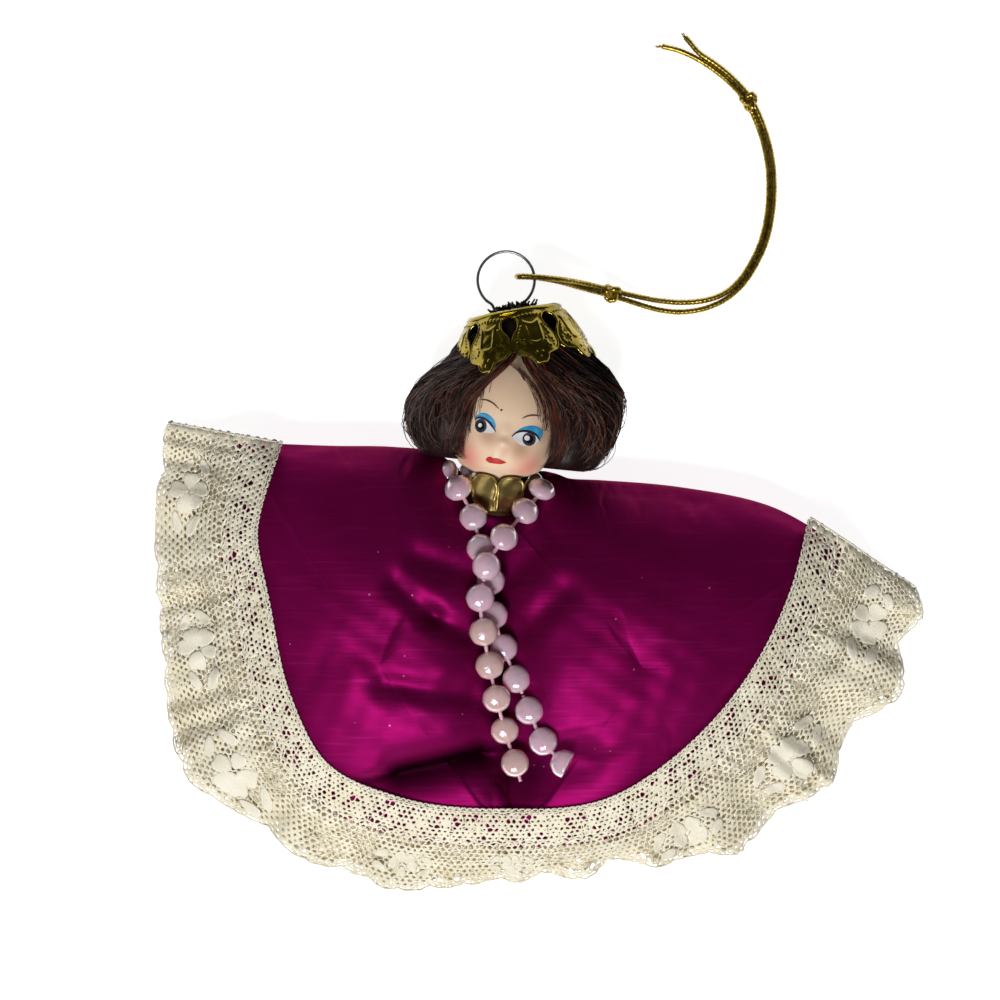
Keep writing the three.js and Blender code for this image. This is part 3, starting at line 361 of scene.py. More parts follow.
def cordPaths():
    s = cordSettings
    fine = catmull(s["route"], s["perSpan"])
    lengths = lengthsAlong(fine)
    total = lengths[-1]
    knot, endKnot, first = [lengths[i * s["perSpan"]] / total for i in (s["loopKnot"], s["endKnot"], 1)]
    share = np.linspace(0, 1, s["samples"])
    middle = pick(fine, share * total)
    along = unit(np.gradient(middle, axis=0))
    sideways = unit(np.stack([-along[:, 1], along[:, 0], np.zeros(len(along))], axis=1))
    turn = smooth((share - first) / (knot - first)) * math.pi / 2
    half = mix(s["wireGap"], s["beside"], smooth(share / knot * 2))
    apart = np.sin(np.pi * np.clip((share - knot) / s["partSpan"], 0, 1)) ** 2
    parted = s["beside"] + s["strandPart"] / 2 * apart
    half = np.where(share > knot, parted, half)
    tips = sideways * (s["tipLift"] * smooth((share - s["tipFrom"]) / (1 - s["tipFrom"])))[:, None]
    offset = sideways * (np.sin(turn) * half)[:, None]
    offset[:, 2] += np.cos(turn) * half
    arc = np.radians([0, 18, 36, 54, 72])
    paths = []
    for side, cut in zip((1, -1), s["cuts"]):
        bend = np.stack([-np.cos(arc), 0 * arc, side * np.sin(arc)], axis=1)  # half of the loop
        strand = middle + side * offset + min(side, 0) * tips
        bend = np.array(s["loopEnd"]) + s["wireGap"] * bend
        paths.append(spaced(np.vstack([bend, strand[share <= cut]]), s["step"]))
    knots = [pick(fine, np.array([k * total, k * total + 0.5])) for k in (knot, endKnot)]
    return paths, knots


def knotShape(at, ahead):  # an overhand knot pulled tight
    t = np.linspace(0, 2 * math.pi, 96, endpoint=False)
    loop = np.stack([np.sin(t) + 2 * np.sin(2 * t), np.cos(t) - 2 * np.cos(2 * t), -np.sin(3 * t)], axis=1)
    along = unit(ahead - at)
    sideways = unit(np.array([-along[1], along[0], 0]))
    up = np.cross(along, sideways)
    size = cordSettings["knotSize"]
    path = at + size[0] * loop[:, :1] * along + size[1] * loop[:, 1:2] * sideways + size[2] * loop[:, 2:] * up
    return Shape(*tube(path, cordSettings["knotRadius"], 12, braid, True))


strandPaths, knotPlaces = cordPaths()
knotNodes = {"cordLoopKnot": "cord_loop_knot", "cordEndKnot": "cord_end_knot"}
for (name, node), places in zip(knotNodes.items(), knotPlaces):
    shape = knotShape(*places)
    makePiece(name, shape, [finishes["cordGold"]], "cord", [node])
frayShape = Shape()
for path in strandPaths:
    ahead = unit(path[-1] - path[-6])
    for _ in range(cordSettings["frays"]):
        aim = unit(ahead + chance.normal(0, cordSettings["fraySpread"], 3) * (1, 1, 0.4))
        reach = chance.uniform(*cordSettings["frayReach"])
        hair = path[-1] - ahead * 0.5 + np.linspace(0, 1, 6)[:, None] * aim * reach
        hair[:, 2] = np.maximum(hair[:, 2], 0.12)
        frayShape.add(*tube(hair, cordSettings["frayRadius"], 5))
fray = makePiece("cordFrayedEnds", frayShape, [finishes["cordGold"]], "cord")
strandNodes = (["cord_loop", "cord_strand_upper", "cord_end_upper"], ["cord_strand_lower", "cord_end_lower"])
for name, path, nodes in zip(("cordStrandUpper", "cordStrandLower"), strandPaths, strandNodes):
    shape = Shape(*tube(path, cordSettings["radius"], 14, braid))
    strand = makePiece(name, shape, [finishes["cordGold"]], "cord", nodes)
print("gold cord laid")

# table, light and background
stageSettings = {
    "tableHalf": 3.0, "tableHeight": -0.0002, "tableGlow": 0.88, "skyLow": 0.2, "skyHigh": 0.06,
    "skyTop": 0.4, "aim": (0, 0.01, 0.01),
    "lamps": {"keyLamp": ((-0.14, -0.55, 0.81), 9.0, 0.42), "fillLamp": ((-0.45, 0.35, 0.85), 0.12, 0.5)},
}


def makeTable():
    s = stageSettings
    half, low = s["tableHalf"], s["tableHeight"]
    mesh = bpy.data.meshes.new("table")
    corners = [(-half, -half, low), (half, -half, low), (half, half, low), (-half, half, low)]
    mesh.from_pydata(corners, [], [[0, 1, 2, 3]])
    table = bpy.data.objects.new("table", mesh)
    scene.collection.objects.link(table)
    finish, tree, shader = newFinish("tableWhite", Base_Color=(0.9, 0.9, 0.9, 1), Roughness=0.9,
                                     Specular_IOR_Level=0.1, Emission_Color=(1, 1, 1, 1))
    rays = addNode(tree, "LightPath")
    seen = rays["Is Camera Ray"]
    for kind in ("Is Glossy Ray", "Is Transmission Ray"):
        seen = addNode(tree, "Math", seen, rays[kind], operation="MAXIMUM")[0]
    glow = addNode(tree, "Math", seen, s["tableGlow"], operation="MULTIPLY")[0]
    feed(tree, shader["Emission Strength"], glow)
    mesh.materials.append(finish)


def makeSky():  # pale near the horizon, darker overhead like a studio ceiling
    s = stageSettings
    scene.world = bpy.data.worlds.new("studio")
    scene.world.use_nodes = True
    tree = scene.world.node_tree
    up = addNode(tree, "SeparateXYZ", Vector=addNode(tree, "TexCoord")["Generated"])["Z"]
    level = addNode(tree, "MapRange", interpolation_type="SMOOTHSTEP", Value=up, From_Min=0.0,
                    From_Max=s["skyTop"], To_Min=s["skyLow"], To_Max=s["skyHigh"])["Result"]
    sky = tree.nodes["Background"].inputs
    feed(tree, sky["Strength"], level)
    feed(tree, sky["Color"], (1, 1, 1, 1))


def makeLamp(name, at, power, size):
    lamp = bpy.data.objects.new(name, bpy.data.lights.new(name, "AREA"))
    lamp.data.energy = power
    lamp.data.size = size
    lamp.location = at
    lamp.rotation_euler = (Vector(stageSettings["aim"]) - Vector(at)).to_track_quat("-Z", "Y").to_euler()
    scene.collection.objects.link(lamp)


makeTable()
makeSky()
for name, lamp in stageSettings["lamps"].items():
    makeLamp(name, *lamp)
print("table and lamps set")

# cape: two stuffed satin fronts and a flat back
capeSettings = {
    "neck": (-9.2, 13.4), "leftCorner": (-60.5, 26.2), "rightCorner": (60.5, 5.4), "foot": (-6, -55.4),
    "topLeft": [(-13.4, 16.6), (-17, 21.2), (-21.4, 24.2), (-30, 25.3), (-42, 25.5)],
    "topRight": [(-4.8, 15.4), (-1.2, 18.4), (2.6, 19.6), (6, 18.9), (12, 18.6), (28, 17.2), (46, 13.4)],
    "rimLeft": [(-64.8, 9), (-62, -8), (-57.8, -26.5), (-48.5, -43.5), (-31, -52.6)],
    "rimRight": [(15, -52.9), (31.5, -43), (47, -26.4), (57.2, -7)],
    "seam": [(-8.8, 0), (-7.8, -22), (-6.4, -44)],
    "edgeHeight": 10.2, "lobeHeight": 26.6, "furrowHeight": 17.3, "fullness": 0.72, "furrowFullness": 8,
    "gridStep": 0.7, "gridRounds": 260, "gridPush": 1.92, "rings": 44, "perSpan": 14,
    "leftTop": (-32, -18), "rightTop": (20, -19), "backMiddle": (-7, -16), "backFlat": 0.45,
    "channels": [  # start, end, width above, width below, depth and power of each fold
        ((-25, 3.4), (-14.5, 0), 2.2, 2.2, 1.7, 2), ((-29, -1.6), (-21.4, -8.4), 2.1, 2.1, 1.8, 2),
        ((-21.4, -8.4), (-14.5, -12), 2.4, 2.4, 2.0, 2), ((-31, -21.6), (-14.5, -23.6), 2.2, 2.6, 1.6, 2),
        ((-28.6, -39.2), (-12, -35.2), 1.7, 6.5, 8.4, 1), ((-5, 0), (2, 7), 2.6, 2.6, 1.4, 2),
        ((-4, -12), (5, -3), 2.3, 2.3, 1.3, 2), ((-2, -38.5), (8, -36.5), 3.0, 6.0, 3.4, 2)],
    "hemFade": 5.5, "shadeDepth": 7.0, "evenRounds": 16, "softRounds": 6,
    "mostMove": 2.5, "clothScale": 10, "clothFrames": 20, "neckSpan": 16, "neckBack": 20.5, "backRows": 40,
    "neckAt": (-9.2, 12.2, 13), "neckLean": -6, "collarRoom": 5.2, "collarSpread": 0.39, "neckOver": 5.3,
    "neckHalf": 6.5,
}
clothSettings = {
    "quality": 6, "mass": 0.3, "tension_stiffness": 30, "compression_stiffness": 30, "shear_stiffness": 10,
    "bending_stiffness": 0.3, "use_pressure": True, "uniform_pressure_force": 3.5,
    "vertex_group_mass": "sewn", "shrink_min": -0.014,
}


def edgeLines():
    s = capeSettings
    lines = {}
    ends = (("topLeft", "neck", "leftCorner"), ("topRight", "neck", "rightCorner"),
            ("rimLeft", "leftCorner", "foot"), ("rimRight", "foot", "rightCorner"),
            ("seam", "neck", "foot"))
    for name, start, end in ends:
        flat = catmull([s[start], *s[name], s[end]], s["perSpan"])
        height = np.full(len(flat), s["edgeHeight"])
        if name == "seam":
            share = np.linspace(0, 1, len(flat))
            rise = 1 - (1 - 2 * np.minimum(share, 1 - share)) ** s["furrowFullness"]
            height = mix(s["edgeHeight"], s["furrowHeight"], rise)
        lines[name] = np.column_stack([flat, height])
    return lines


edges = edgeLines()


def pressedIn(x, y):  # folds that run into the seam, each with a width above it and one below
    depth = np.zeros_like(x)
    for start, end, above, below, deep, power in capeSettings["channels"]:
        step = np.subtract(end, start)
        share = np.clip(((x - start[0]) * step[0] + (y - start[1]) * step[1]) / np.dot(step, step), 0, 1)
        away = np.hypot(x - start[0] - step[0] * share, y - start[1] - step[1] * share)
        upper = step[0] * (y - start[1]) > step[1] * (x - start[0])
        depth += deep * np.exp(-((away / np.where(upper, above, below)) ** power))
    return depth * fromHem(x, y)


def fromHem(x, y):  # 0 on the outer edges of the cape, 1 well inside
    near = np.full(x.shape, np.inf)
    for hem in ("topLeft", "rimLeft", "rimRight", "topRight"):
        for px, py, _ in edges[hem]:
            near = np.minimum(near, (x - px) ** 2 + (y - py) ** 2)
    return smooth(np.sqrt(near) / capeSettings["hemFade"])


def insideOf(edge, x, y):  # which places lie inside a closed line
    inside = np.zeros(x.shape, bool)
    for (x0, y0), (x1, y1) in zip(edge[:, :2], np.roll(edge[:, :2], -1, 0)):
        if y0 != y1:
            inside ^= ((y0 > y) != (y1 > y)) & (x < (x1 - x0) * (y - y0) / (y1 - y0) + x0)
    return inside


def stuffedHeights(edge):  # heights of a panel that is stuffed evenly, on a grid of places
    s = capeSettings
    step = s["gridStep"]
    low = edge[:, :2].min(axis=0) - 2 * step
    across, along = [np.arange(low[k], edge[:, k].max() + 2 * step, step) for k in (0, 1)]
    x, y = np.meshgrid(across, along, indexing="ij")
    inside = insideOf(edge, x, y)
    nearest = np.argmin((x[..., None] - edge[:, 0]) ** 2 + (y[..., None] - edge[:, 1]) ** 2, axis=-1)
    hem, swell = edge[nearest, 2], np.zeros(x.shape)
    odd = np.add.outer(np.arange(len(across)), np.arange(len(along))) % 2 == 1
    for turn in range(2 * s["gridRounds"]):
        part = inside & (odd if turn % 2 else ~odd)
        for field, push in ((hem, 0.0), (swell, 1.0)):
            beside = sum(np.roll(field, way, axis) for way in (-1, 1) for axis in (0, 1)) / 4
            field[part] += s["gridPush"] * (beside + push - field)[part]
    full = (swell / swell.max()) ** s["fullness"]
    grow = s["lobeHeight"] - hem.flat[np.argmax(swell)]
    return across, along, hem + grow * full


def lobeSheet(edge, top):  # rows of points from the edge in to the top
    s = capeSettings
    across, along, heights = stuffedHeights(edge)
    share = (np.arange(s["rings"]) / s["rings"]) ** 1.1
    spread = edge[None, :, :2] - np.array(top)
    far = np.linalg.norm(spread, axis=-1, keepdims=True)
    spread = mix(spread, spread / far * far.min() * 0.9, smooth(share / 0.5)[:, None, None])
    flat = np.array(top) + spread * (1 - share)[:, None, None]
    gx, gy = (flat[..., 0] - across[0]) / s["gridStep"], (flat[..., 1] - along[0]) / s["gridStep"]
    ix, iy = gx.astype(int), gy.astype(int)
    fx, fy = gx - ix, gy - iy
    height = mix(mix(heights[ix, iy], heights[ix + 1, iy], fx),
                 mix(heights[ix, iy + 1], heights[ix + 1, iy + 1], fx), fy)
    height = mix(edge[None, :, 2], height, smooth(np.arange(s["rings"]) / 3)[:, None])
    points = np.concatenate([np.dstack([flat, height]).reshape(-1, 3), [[*top, height[-1].mean()]]])
    return points, domeFaces(s["rings"], len(edge)), len(edge)


def inflate(points, faces, sewn):  # stuff a panel that is sewn along its edge
    s = capeSettings
    grown = s["clothScale"]  # the cloth solver likes larger things
    mesh = bpy.data.meshes.new("satinBlank")
    mesh.from_pydata((points * mm * grown).tolist(), [], faces)
    blank = bpy.data.objects.new("satinBlank", mesh)
    scene.collection.objects.link(blank)
    blank.vertex_groups.new(name="sewn").add(sewn, 1.0, "REPLACE")
    cloth = blank.modifiers.new("cloth", "CLOTH")
    for setting, value in clothSettings.items():
        setattr(cloth.settings, setting, value)
    cloth.settings.effector_weights.gravity = 0
    cloth.collision_settings.use_collision = False
    for number in range(s["clothFrames"]):
        scene.frame_set(number + 1)
    made = blank.evaluated_get(bpy.context.evaluated_depsgraph_get()).data
    moved = np.empty(len(points) * 3)
    made.vertices.foreach_get("co", moved)
    moved = moved.reshape(-1, 3) / mm / grown
    bpy.data.objects.remove(blank)
    bpy.data.meshes.remove(mesh)
    scene.frame_set(1)
    step = moved - points
    far = np.linalg.norm(step, axis=1, keepdims=True)
    return points + step * np.minimum(1, s["mostMove"] / np.maximum(far, 1e-6))


def eased(values, wide, ends="edge"):  # running mean along the last axis
    kernel = np.hanning(2 * wide + 3)[1:-1]
    padded = np.pad(values, [(0, 0)] * (values.ndim - 1) + [(wide, wide)], mode=ends)
    return np.apply_along_axis(lambda row: np.convolve(row, kernel / kernel.sum(), "valid"), -1, padded)


def calmed(points, columns):  # ease the rows round the top, where the panel's lines run together
    rings = capeSettings["rings"]
    heights = points[:-1, 2].reshape(rings, columns)
    for row in range(1, rings):
        wide = int(2 + columns * 0.08 * smooth((row / rings - 0.5) / 0.4))
        heights[row] = eased(heights[row], wide, "wrap")
    points[:-1, 2] = heights.ravel()
    points[-1, 2] = heights[-1].mean()
    return points


def finer(points, columns):  # twice the rows and columns, for sharper folds
    grid = points[:-1].reshape(capeSettings["rings"], columns, 3)
    grid = np.stack([grid, (grid + np.roll(grid, -1, 1)) / 2], 2).reshape(len(grid), -1, 3)
    rows = np.repeat(grid, 2, 0)[:-1]
    rows[1::2] = (grid[:-1] + grid[1:]) / 2
    return rows


def soften(rows, rounds):  # even out the heights of neighbouring points
    heights = rows[..., 2]
    for _ in range(rounds):
        beside = np.roll(heights, 1, 1) + np.roll(heights, -1, 1)
        heights[1:-1] = mix(heights[1:-1], (beside[1:-1] + heights[:-2] + heights[2:]) / 4, 0.6)


def neckFitted(points):  # the satin gives way to the collar and lies over the neck below it
    s = capeSettings
    lean, half, height = math.radians(s["neckLean"]), s["neckHalf"], s["neckAt"][2]
    dx, dy = points[:, 0] - s["neckAt"][0], points[:, 1] - s["neckAt"][1]
    across = dx * math.cos(lean) + dy * math.sin(lean)
    up = -dx * math.sin(lean) + dy * math.cos(lean)
    room = s["collarRoom"] + np.maximum(up, 0) * s["collarSpread"]
    inside = (np.abs(across) < room) & (up > -0.4)
    low = height - np.sqrt(np.maximum(room ** 2 - across ** 2, 0)) - 0.2
    points[inside, 2] = np.minimum(points[:, 2], low)[inside]
    over = height + s["neckOver"] * np.sqrt(np.maximum(0, 1 - (across / half) ** 2))
    lies = smooth((-0.3 - up) / 0.7) * smooth((up + 14) / 6) * (np.abs(across) < half)
    points[:, 2] = np.maximum(points[:, 2], mix(points[:, 2], over, lies))
    return points


leftEdge = np.vstack([edges["topLeft"][:-1], edges["rimLeft"][:-1], edges["seam"][:0:-1]])
rightEdge = np.vstack([edges["seam"][:-1], edges["rimRight"][:-1], edges["topRight"][:0:-1]])
satinPoints, satinFaces = [], []
for name, node, edge, top in (("capeFrontLeft", "cape_front_left", leftEdge, capeSettings["leftTop"]),
                              ("capeFrontRight", "cape_front_right", rightEdge, capeSettings["rightTop"])):
    points, faces, columns = lobeSheet(edge, top)
    points = inflate(points, faces, list(range(columns)))
    rows = finer(calmed(points, columns), columns)
    x, y = rows[..., 0], rows[..., 1]
    folds = pressedIn(x, y)
    lumps = np.sin(x * 0.31 + 1.3 * np.sin(y * 0.17)) * np.sin(y * 0.27 + 1.1 * np.sin(x * 0.13)) * 0.28
    lumps += np.sin(x * 0.9 + y * 0.35) * np.sin(y * 0.8 - x * 0.2) * 0.1
    rows[..., 2] += lumps * fromHem(x, y)
    soften(rows, capeSettings["evenRounds"])
    rows[..., 2] -= folds
    soften(rows, capeSettings["softRounds"])
    points = neckFitted(np.concatenate([rows.reshape(-1, 3), [[*top, rows[-1, :, 2].mean()]]]))
    faces = domeFaces(*rows.shape[:2])
    satinFaces += [[i + sum(map(len, satinPoints)) for i in face] for face in faces]
    satinPoints.append(points)
    panel = makePiece(name, Shape(points, faces), [satin], "cape", [node])
    # painted shade: the deeper the fold, the darker the satin is painted there
    shade = np.append(np.clip(folds.ravel() / capeSettings["shadeDepth"], 0, 1) ** 1.5, 0)
    panel.data.attributes.new("fold", "FLOAT", "POINT").data.foreach_set("value", shade)

satinTree = BVHTree.FromPolygons(np.vstack(satinPoints).tolist(), satinFaces)


def satinTop(x, y, miss=None):  # height of the satin straight under a point
    hit = satinTree.ray_cast(Vector((x, y, 90)), Vector((0, 0, -1)))[0]
    return miss if hit is None else hit.z


def makeCapeBack():
    s = capeSettings
    hems = [edges[name][:-1] for name in ("topLeft", "rimLeft", "rimRight")]
    edge = np.vstack(hems + [edges["topRight"][:0:-1]])
    behind = smooth(1 - np.abs(edge[:, 0] - s["neck"][0]) / s["neckSpan"]) * (edge[:, 1] > 5)
    edge[:, 1] = mix(edge[:, 1], np.maximum(edge[:, 1], s["neckBack"]), smooth(behind * 3))
    edge[:, 2] = mix(edge[:, 2], 1.2, smooth(behind * 3))
    share = np.arange(s["backRows"]) / s["backRows"]
    middle = np.array(s["backMiddle"])
    flat = mix(edge[None, :, :2], middle[None, None, :], share[:, None, None])
    height = edge[None, :, 2] * (1 - np.clip(share[:, None] / s["backFlat"], 0, 1)) ** 2
    creases = np.sin(flat[:, :, 0] * 0.5 + np.sin(flat[:, :, 1] * 0.3)) * 0.25 * smooth(share / 0.1)[:, None]
    height = np.maximum(0.05, height + creases * smooth((0.5 - share) / 0.2)[:, None])
    points = np.concatenate([np.dstack([flat, height]).reshape(-1, 3), [[*middle, 0.05]]])
    shape = Shape(points, flipped(domeFaces(s["backRows"], len(edge))))
    panel = makePiece("capeBack", shape, [satin], "cape", ["cape_back", "stuffing"])


makeCapeBack()
print("cape stuffed")

# lace: a flat heading on the satin and a gathered net ruffle over the rim
laceSettings = {
    "inset": 8.5, "heading": 7.0, "past": 1.8, "under": 1.1, "underGrow": 1.3, "petalThick": 0.14,
    "picotStep": 1.62, "reach": [24, 22, 24.2, 27.2, 19.6, 19.2, 15.6, 15, 24, 26.5, 28, 28],
    "endLeft": (-0.98, 0.18), "endRight": (0.84, -0.54), "skirt": 0.5, "rest": 2.4,
    "waves": ((15, 2.4, 11, 0.75, 23), (41, 2.0, 31, 0.6, 57), (88, 2.5, 70, 0.6, 133)),
    "foldHeight": [0.8, 0.9, 1.1, 1.5, 1.4, 1.2, 1.0, 1.2, 1.9, 2.1, 2.0, 1.6],
    "foldReach": [0.2, 0.3, 0.5, 0.8, 0.7, 0.6, 0.6, 1.0, 2.0, 2.3, 2.0, 1.0],
    "tuck": [0.0, 0.2, 0.6, 1.5, 1.8, 1.3, 0.5, 0.3, 0.7, 0.9, 0.5, 0.2],
    "cellAlong": 1.46, "cellAcross": 0.9, "thickness": 0.22, "gather": 1.18,
    "widest": 30, "jitter": (0.17, 0.13),
    "open": {"picots": 0.66, "heading": 0.5, "edge": 0.34, "gathers": 0.72, "ruffle": 0.6, "least": 0.22},
    "rows": {"ends": 1.8, "picots": 1.5, "edge": 1.3, "gathers": 2.4}, "underOpen": 0.42,
    "flowerPitch": 31.0, "petalRing": (2.7, 2.3), "petalSize": (2.1, 1.7),
    "leaves": ((6.6, -1.8, 2.3, 1.0, 0.55), (6.2, 1.9, 2.0, 0.9, -0.35)),
}


def rimFrames(share):  # place and outward direction on the rim
    c = capeSettings
    knots = [c["leftCorner"], *c["rimLeft"], c["foot"], *c["rimRight"], c["rightCorner"]]
    first, last = [np.add(end, unit(np.subtract(end, near)) * laceSettings["past"])
                   for end, near in (knots[:2], knots[:-3:-1])]
    line = catmull([first, *knots, last], 60)
    total = lengthsAlong(line)[-1]
    at = pick(line, share * total)
    ahead = unit(pick(line, np.minimum(share * total + 0.5, total))
                 - pick(line, np.maximum(share * total - 0.5, 0)))
    out = np.stack([ahead[:, 1], -ahead[:, 0]], axis=1)
    left, right = smooth(1 - share * 10)[:, None], smooth(1 - (1 - share) * 10)[:, None]
    out = mix(out, np.array(laceSettings["endLeft"]), left)
    out = mix(out, np.array(laceSettings["endRight"]), right)
    return at, unit(out), total


def wander(x, y):  # an uneven field between -1 and 1
    return np.sin(x * 0.9 + 1.7 * np.sin(y * 0.7)) * np.sin(y * 1.3 + 1.1 * np.sin(x * 0.5))


class Lace:  # the lace as a surface over (share along the rim, millimetres out from the edge that shows)
    def __init__(self):
        s = laceSettings
        self.share = np.linspace(0, 1, 601)
        self.at, self.out, self.rimLength = rimFrames(self.share)
        self.reach = self.along(s["reach"])
        fold, fine, tight = [self.wave(*row) for row in s["waves"]]
        heading = []
        for row in np.linspace(0, 1, 9):
            flat = self.at + self.out * (row * s["heading"] - s["inset"])
            top = np.array([satinTop(x, y, capeSettings["edgeHeight"]) for x, y in flat])
            raised = np.max([np.roll(top, k) for k in range(-8, 9, 2)], axis=0) * 0.5 + top * 0.5
            heading.append(np.column_stack([flat, eased(raised, 5) + 0.45 + 0.16 * tight * row]))
        self.heading = np.array(heading)
        ruffle = []
        start = self.heading[-1][:, 2]
        for a in np.linspace(0, 1, 25):
            outwards = mix(s["heading"], self.reach + fold * self.along(s["foldReach"]) * a, a ** 0.9)
            flat = self.at + self.out * (outwards - s["inset"])[:, None]
            fall = smooth(a / s["skirt"]) * 0.75 + 0.25 * a
            hung = mix(start, s["rest"], fall) + fold * self.along(s["foldHeight"]) * smooth(a * 1.5)
            hung += fine * 0.55 * smooth(a * 3) + tight * 0.3 * math.exp(-((a - 0.06) / 0.16) ** 2)
            hung += self.along(s["tuck"]) * (0.8 + 0.4 * fine) * math.exp(-((a - 0.27) / 0.11) ** 2)
            hung -= 0.75 * math.exp(-((a - 0.03) / 0.05) ** 2)
            past = np.maximum(0, outwards - s["inset"] - 0.6)
            top = np.array([satinTop(x, y, -1) for x, y in flat])
            floor = np.where(top > 0, top + 0.3, capeSettings["edgeHeight"] + 0.9 - past * 2.2)
            height = np.maximum.reduce([hung, eased(floor, 3), np.full(len(hung), 0.35)])
            ruffle.append(np.column_stack([flat, height]))
        self.ruffle = np.array(ruffle)

    def wave(self, count, sway, swayPace, mean, swellPace):  # uneven waves along the rim
        u = self.share
        swell = mean + (1 - mean) * np.sin(u * swellPace)
        return np.sin(u * count * 2 * math.pi + sway * np.sin(u * swayPace)) * swell

    def along(self, values):  # a list of values, eased into each other along the rim
        knots = np.linspace(0, 1, len(values))
        part = np.clip(np.searchsorted(knots, self.share, "right") - 1, 0, len(knots) - 2)
        local = smooth((self.share - knots[part]) / (knots[1] - knots[0]))
        return mix(np.array(values)[part], np.array(values)[part + 1], local)

    def reachAt(self, share):
        return np.interp(share, self.share, self.reach)

    def place(self, share, outwards, lift=0.0):
        share, outwards = np.clip(np.asarray(share, float), 0, 1), np.asarray(outwards, float)
        s = laceSettings
        onHead = outwards < s["heading"]
        beyond = (outwards - s["heading"]) / (self.reachAt(share) - s["heading"])
        row = np.clip(np.where(onHead, outwards / s["heading"], beyond), 0, 1)
        head = self.sample(self.heading, share, row)
        ruff = self.sample(self.ruffle, share, row)
        spot = np.where(onHead[..., None], head[0], ruff[0])
        normal = np.where(onHead[..., None], head[1], ruff[1])
        return spot + normal * np.asarray(lift)[..., None]

    def sample(self, grid, share, row):
        normals = unit(np.cross(np.gradient(grid, axis=1), np.gradient(grid, axis=0)))
        normals = np.where(normals[..., 2:] < 0, -normals, normals)
        r, c = row * (grid.shape[0] - 1), share * (grid.shape[1] - 1)
        r0, c0 = np.minimum(r.astype(int), grid.shape[0] - 2), np.minimum(c.astype(int), grid.shape[1] - 2)
        fr, fc = (r - r0)[..., None], (c - c0)[..., None]
        spot, normal = [mix(mix(g[r0, c0], g[r0, c0 + 1], fc), mix(g[r0 + 1, c0], g[r0 + 1, c0 + 1], fc), fr)
                        for g in (grid, normals)]
        return spot, unit(normal)


lace = Lace()
laceLength = lace.rimLength * laceSettings["gather"]


def laceEdge(along):  # scalloped outer edge
    share = along / laceLength
    wave = np.abs(np.sin(along / 7.4 * math.pi + 0.8 * np.sin(along * 0.11)))
    return lace.reachAt(share) - 1.2 + 1.0 * wave ** 0.7 + 0.5 * np.sin(along * 0.33)


def holeShare(along, across, edge):  # how much of a mesh of the net is open
    s = laceSettings
    rows, share = s["rows"], s["open"]
    if min(along, laceLength - along) < rows["ends"]:
        return 0.0
    if across < rows["picots"]:
        return share["picots"]
    if across < s["heading"]:
        return share["heading"] * (1 + 0.5 * wander(along, across)) * chance.uniform(0.6, 1.3)
    if edge < rows["edge"]:
        return share["edge"]
    if across < s["heading"] + rows["gathers"]:
        return share["gathers"] * chance.uniform(0.7, 1.2)
    return share["ruffle"] * (1 + 0.5 * wander(along * 0.3, across * 0.35)) * chance.uniform(0.7, 1.2)


def netShape(grow, first, sink):  # six-sided meshes, most of them with a hole
    s = laceSettings
    shape, corners, spots = Shape(), {}, []

    def corner(x, y):
        key = (round(x * 50), round(y * 50))
        if key not in corners:
            corners[key] = len(spots)
            stray = [chance.normal(0, spread * grow) for spread in s["jitter"]]
            spots.append((x + stray[0], y + stray[1]))
        return corners[key]

    wide, tall = s["cellAlong"] * grow, s["cellAcross"] * grow
    ring = [(0.0, 0.67), (0.5, 0.33), (0.5, -0.33), (0.0, -0.67), (-0.5, -0.33), (-0.5, 0.33)]
    for j in range(int(s["widest"] / tall)):
        for i in range(int(laceLength / wide) + 1):
            cx, cy = (i + 0.5 * (j % 2)) * wide, first + j * tall
            edge = laceEdge(cx) - cy - sink
            if cx < 0.6 or cx > laceLength - 0.6 or edge < 0:
                continue
            outer = [corner(cx + dx * wide, cy + dy * tall) for dx, dy in ring]
            hole = holeShare(cx, cy, edge) * (s["underOpen"] if sink else 1.0)
            if hole < s["open"]["least"]:
                shape.faces.append(outer[::-1])
                continue
            inner = []
            for k in outer:
                inner.append(len(spots))
                spots.append((mix(cx, spots[k][0], hole), mix(cy, spots[k][1], hole)))
            shape.faces += [[outer[k], inner[k], inner[(k + 1) % 6], outer[(k + 1) % 6]] for k in range(6)]
    spots = np.array(spots)
    crumpled = 0.5 + 0.5 * smooth(1 - np.abs(spots[:, 1] - 4.4) / 2.6)
    lift = 0.1 * np.sin(spots[:, 0] * 3.9) * np.sin(spots[:, 1] * 6.4)
    lift = lift + 0.22 * crumpled * wander(spots[:, 0], spots[:, 1])
    points = lace.place(spots[:, 0] / laceLength, spots[:, 1], lift - sink)
    points[:, 2] = np.maximum(points[:, 2], 0.2)
    shape.points = [points]
    shape.finishes = [0] * len(shape.faces)
    return shape


def threadThick(piece, thickness, offset):
    thick = piece.modifiers.new("thread", "SOLIDIFY")
    thick.thickness = thickness * mm
    thick.offset = offset
    return piece


def makeNet(name, grow, first, sink, nodes=()):
    net = makePiece(name, netShape(grow, first, sink), [finishes["laceNet"]], "cape", nodes)
    return threadThick(net, laceSettings["thickness"], 0)


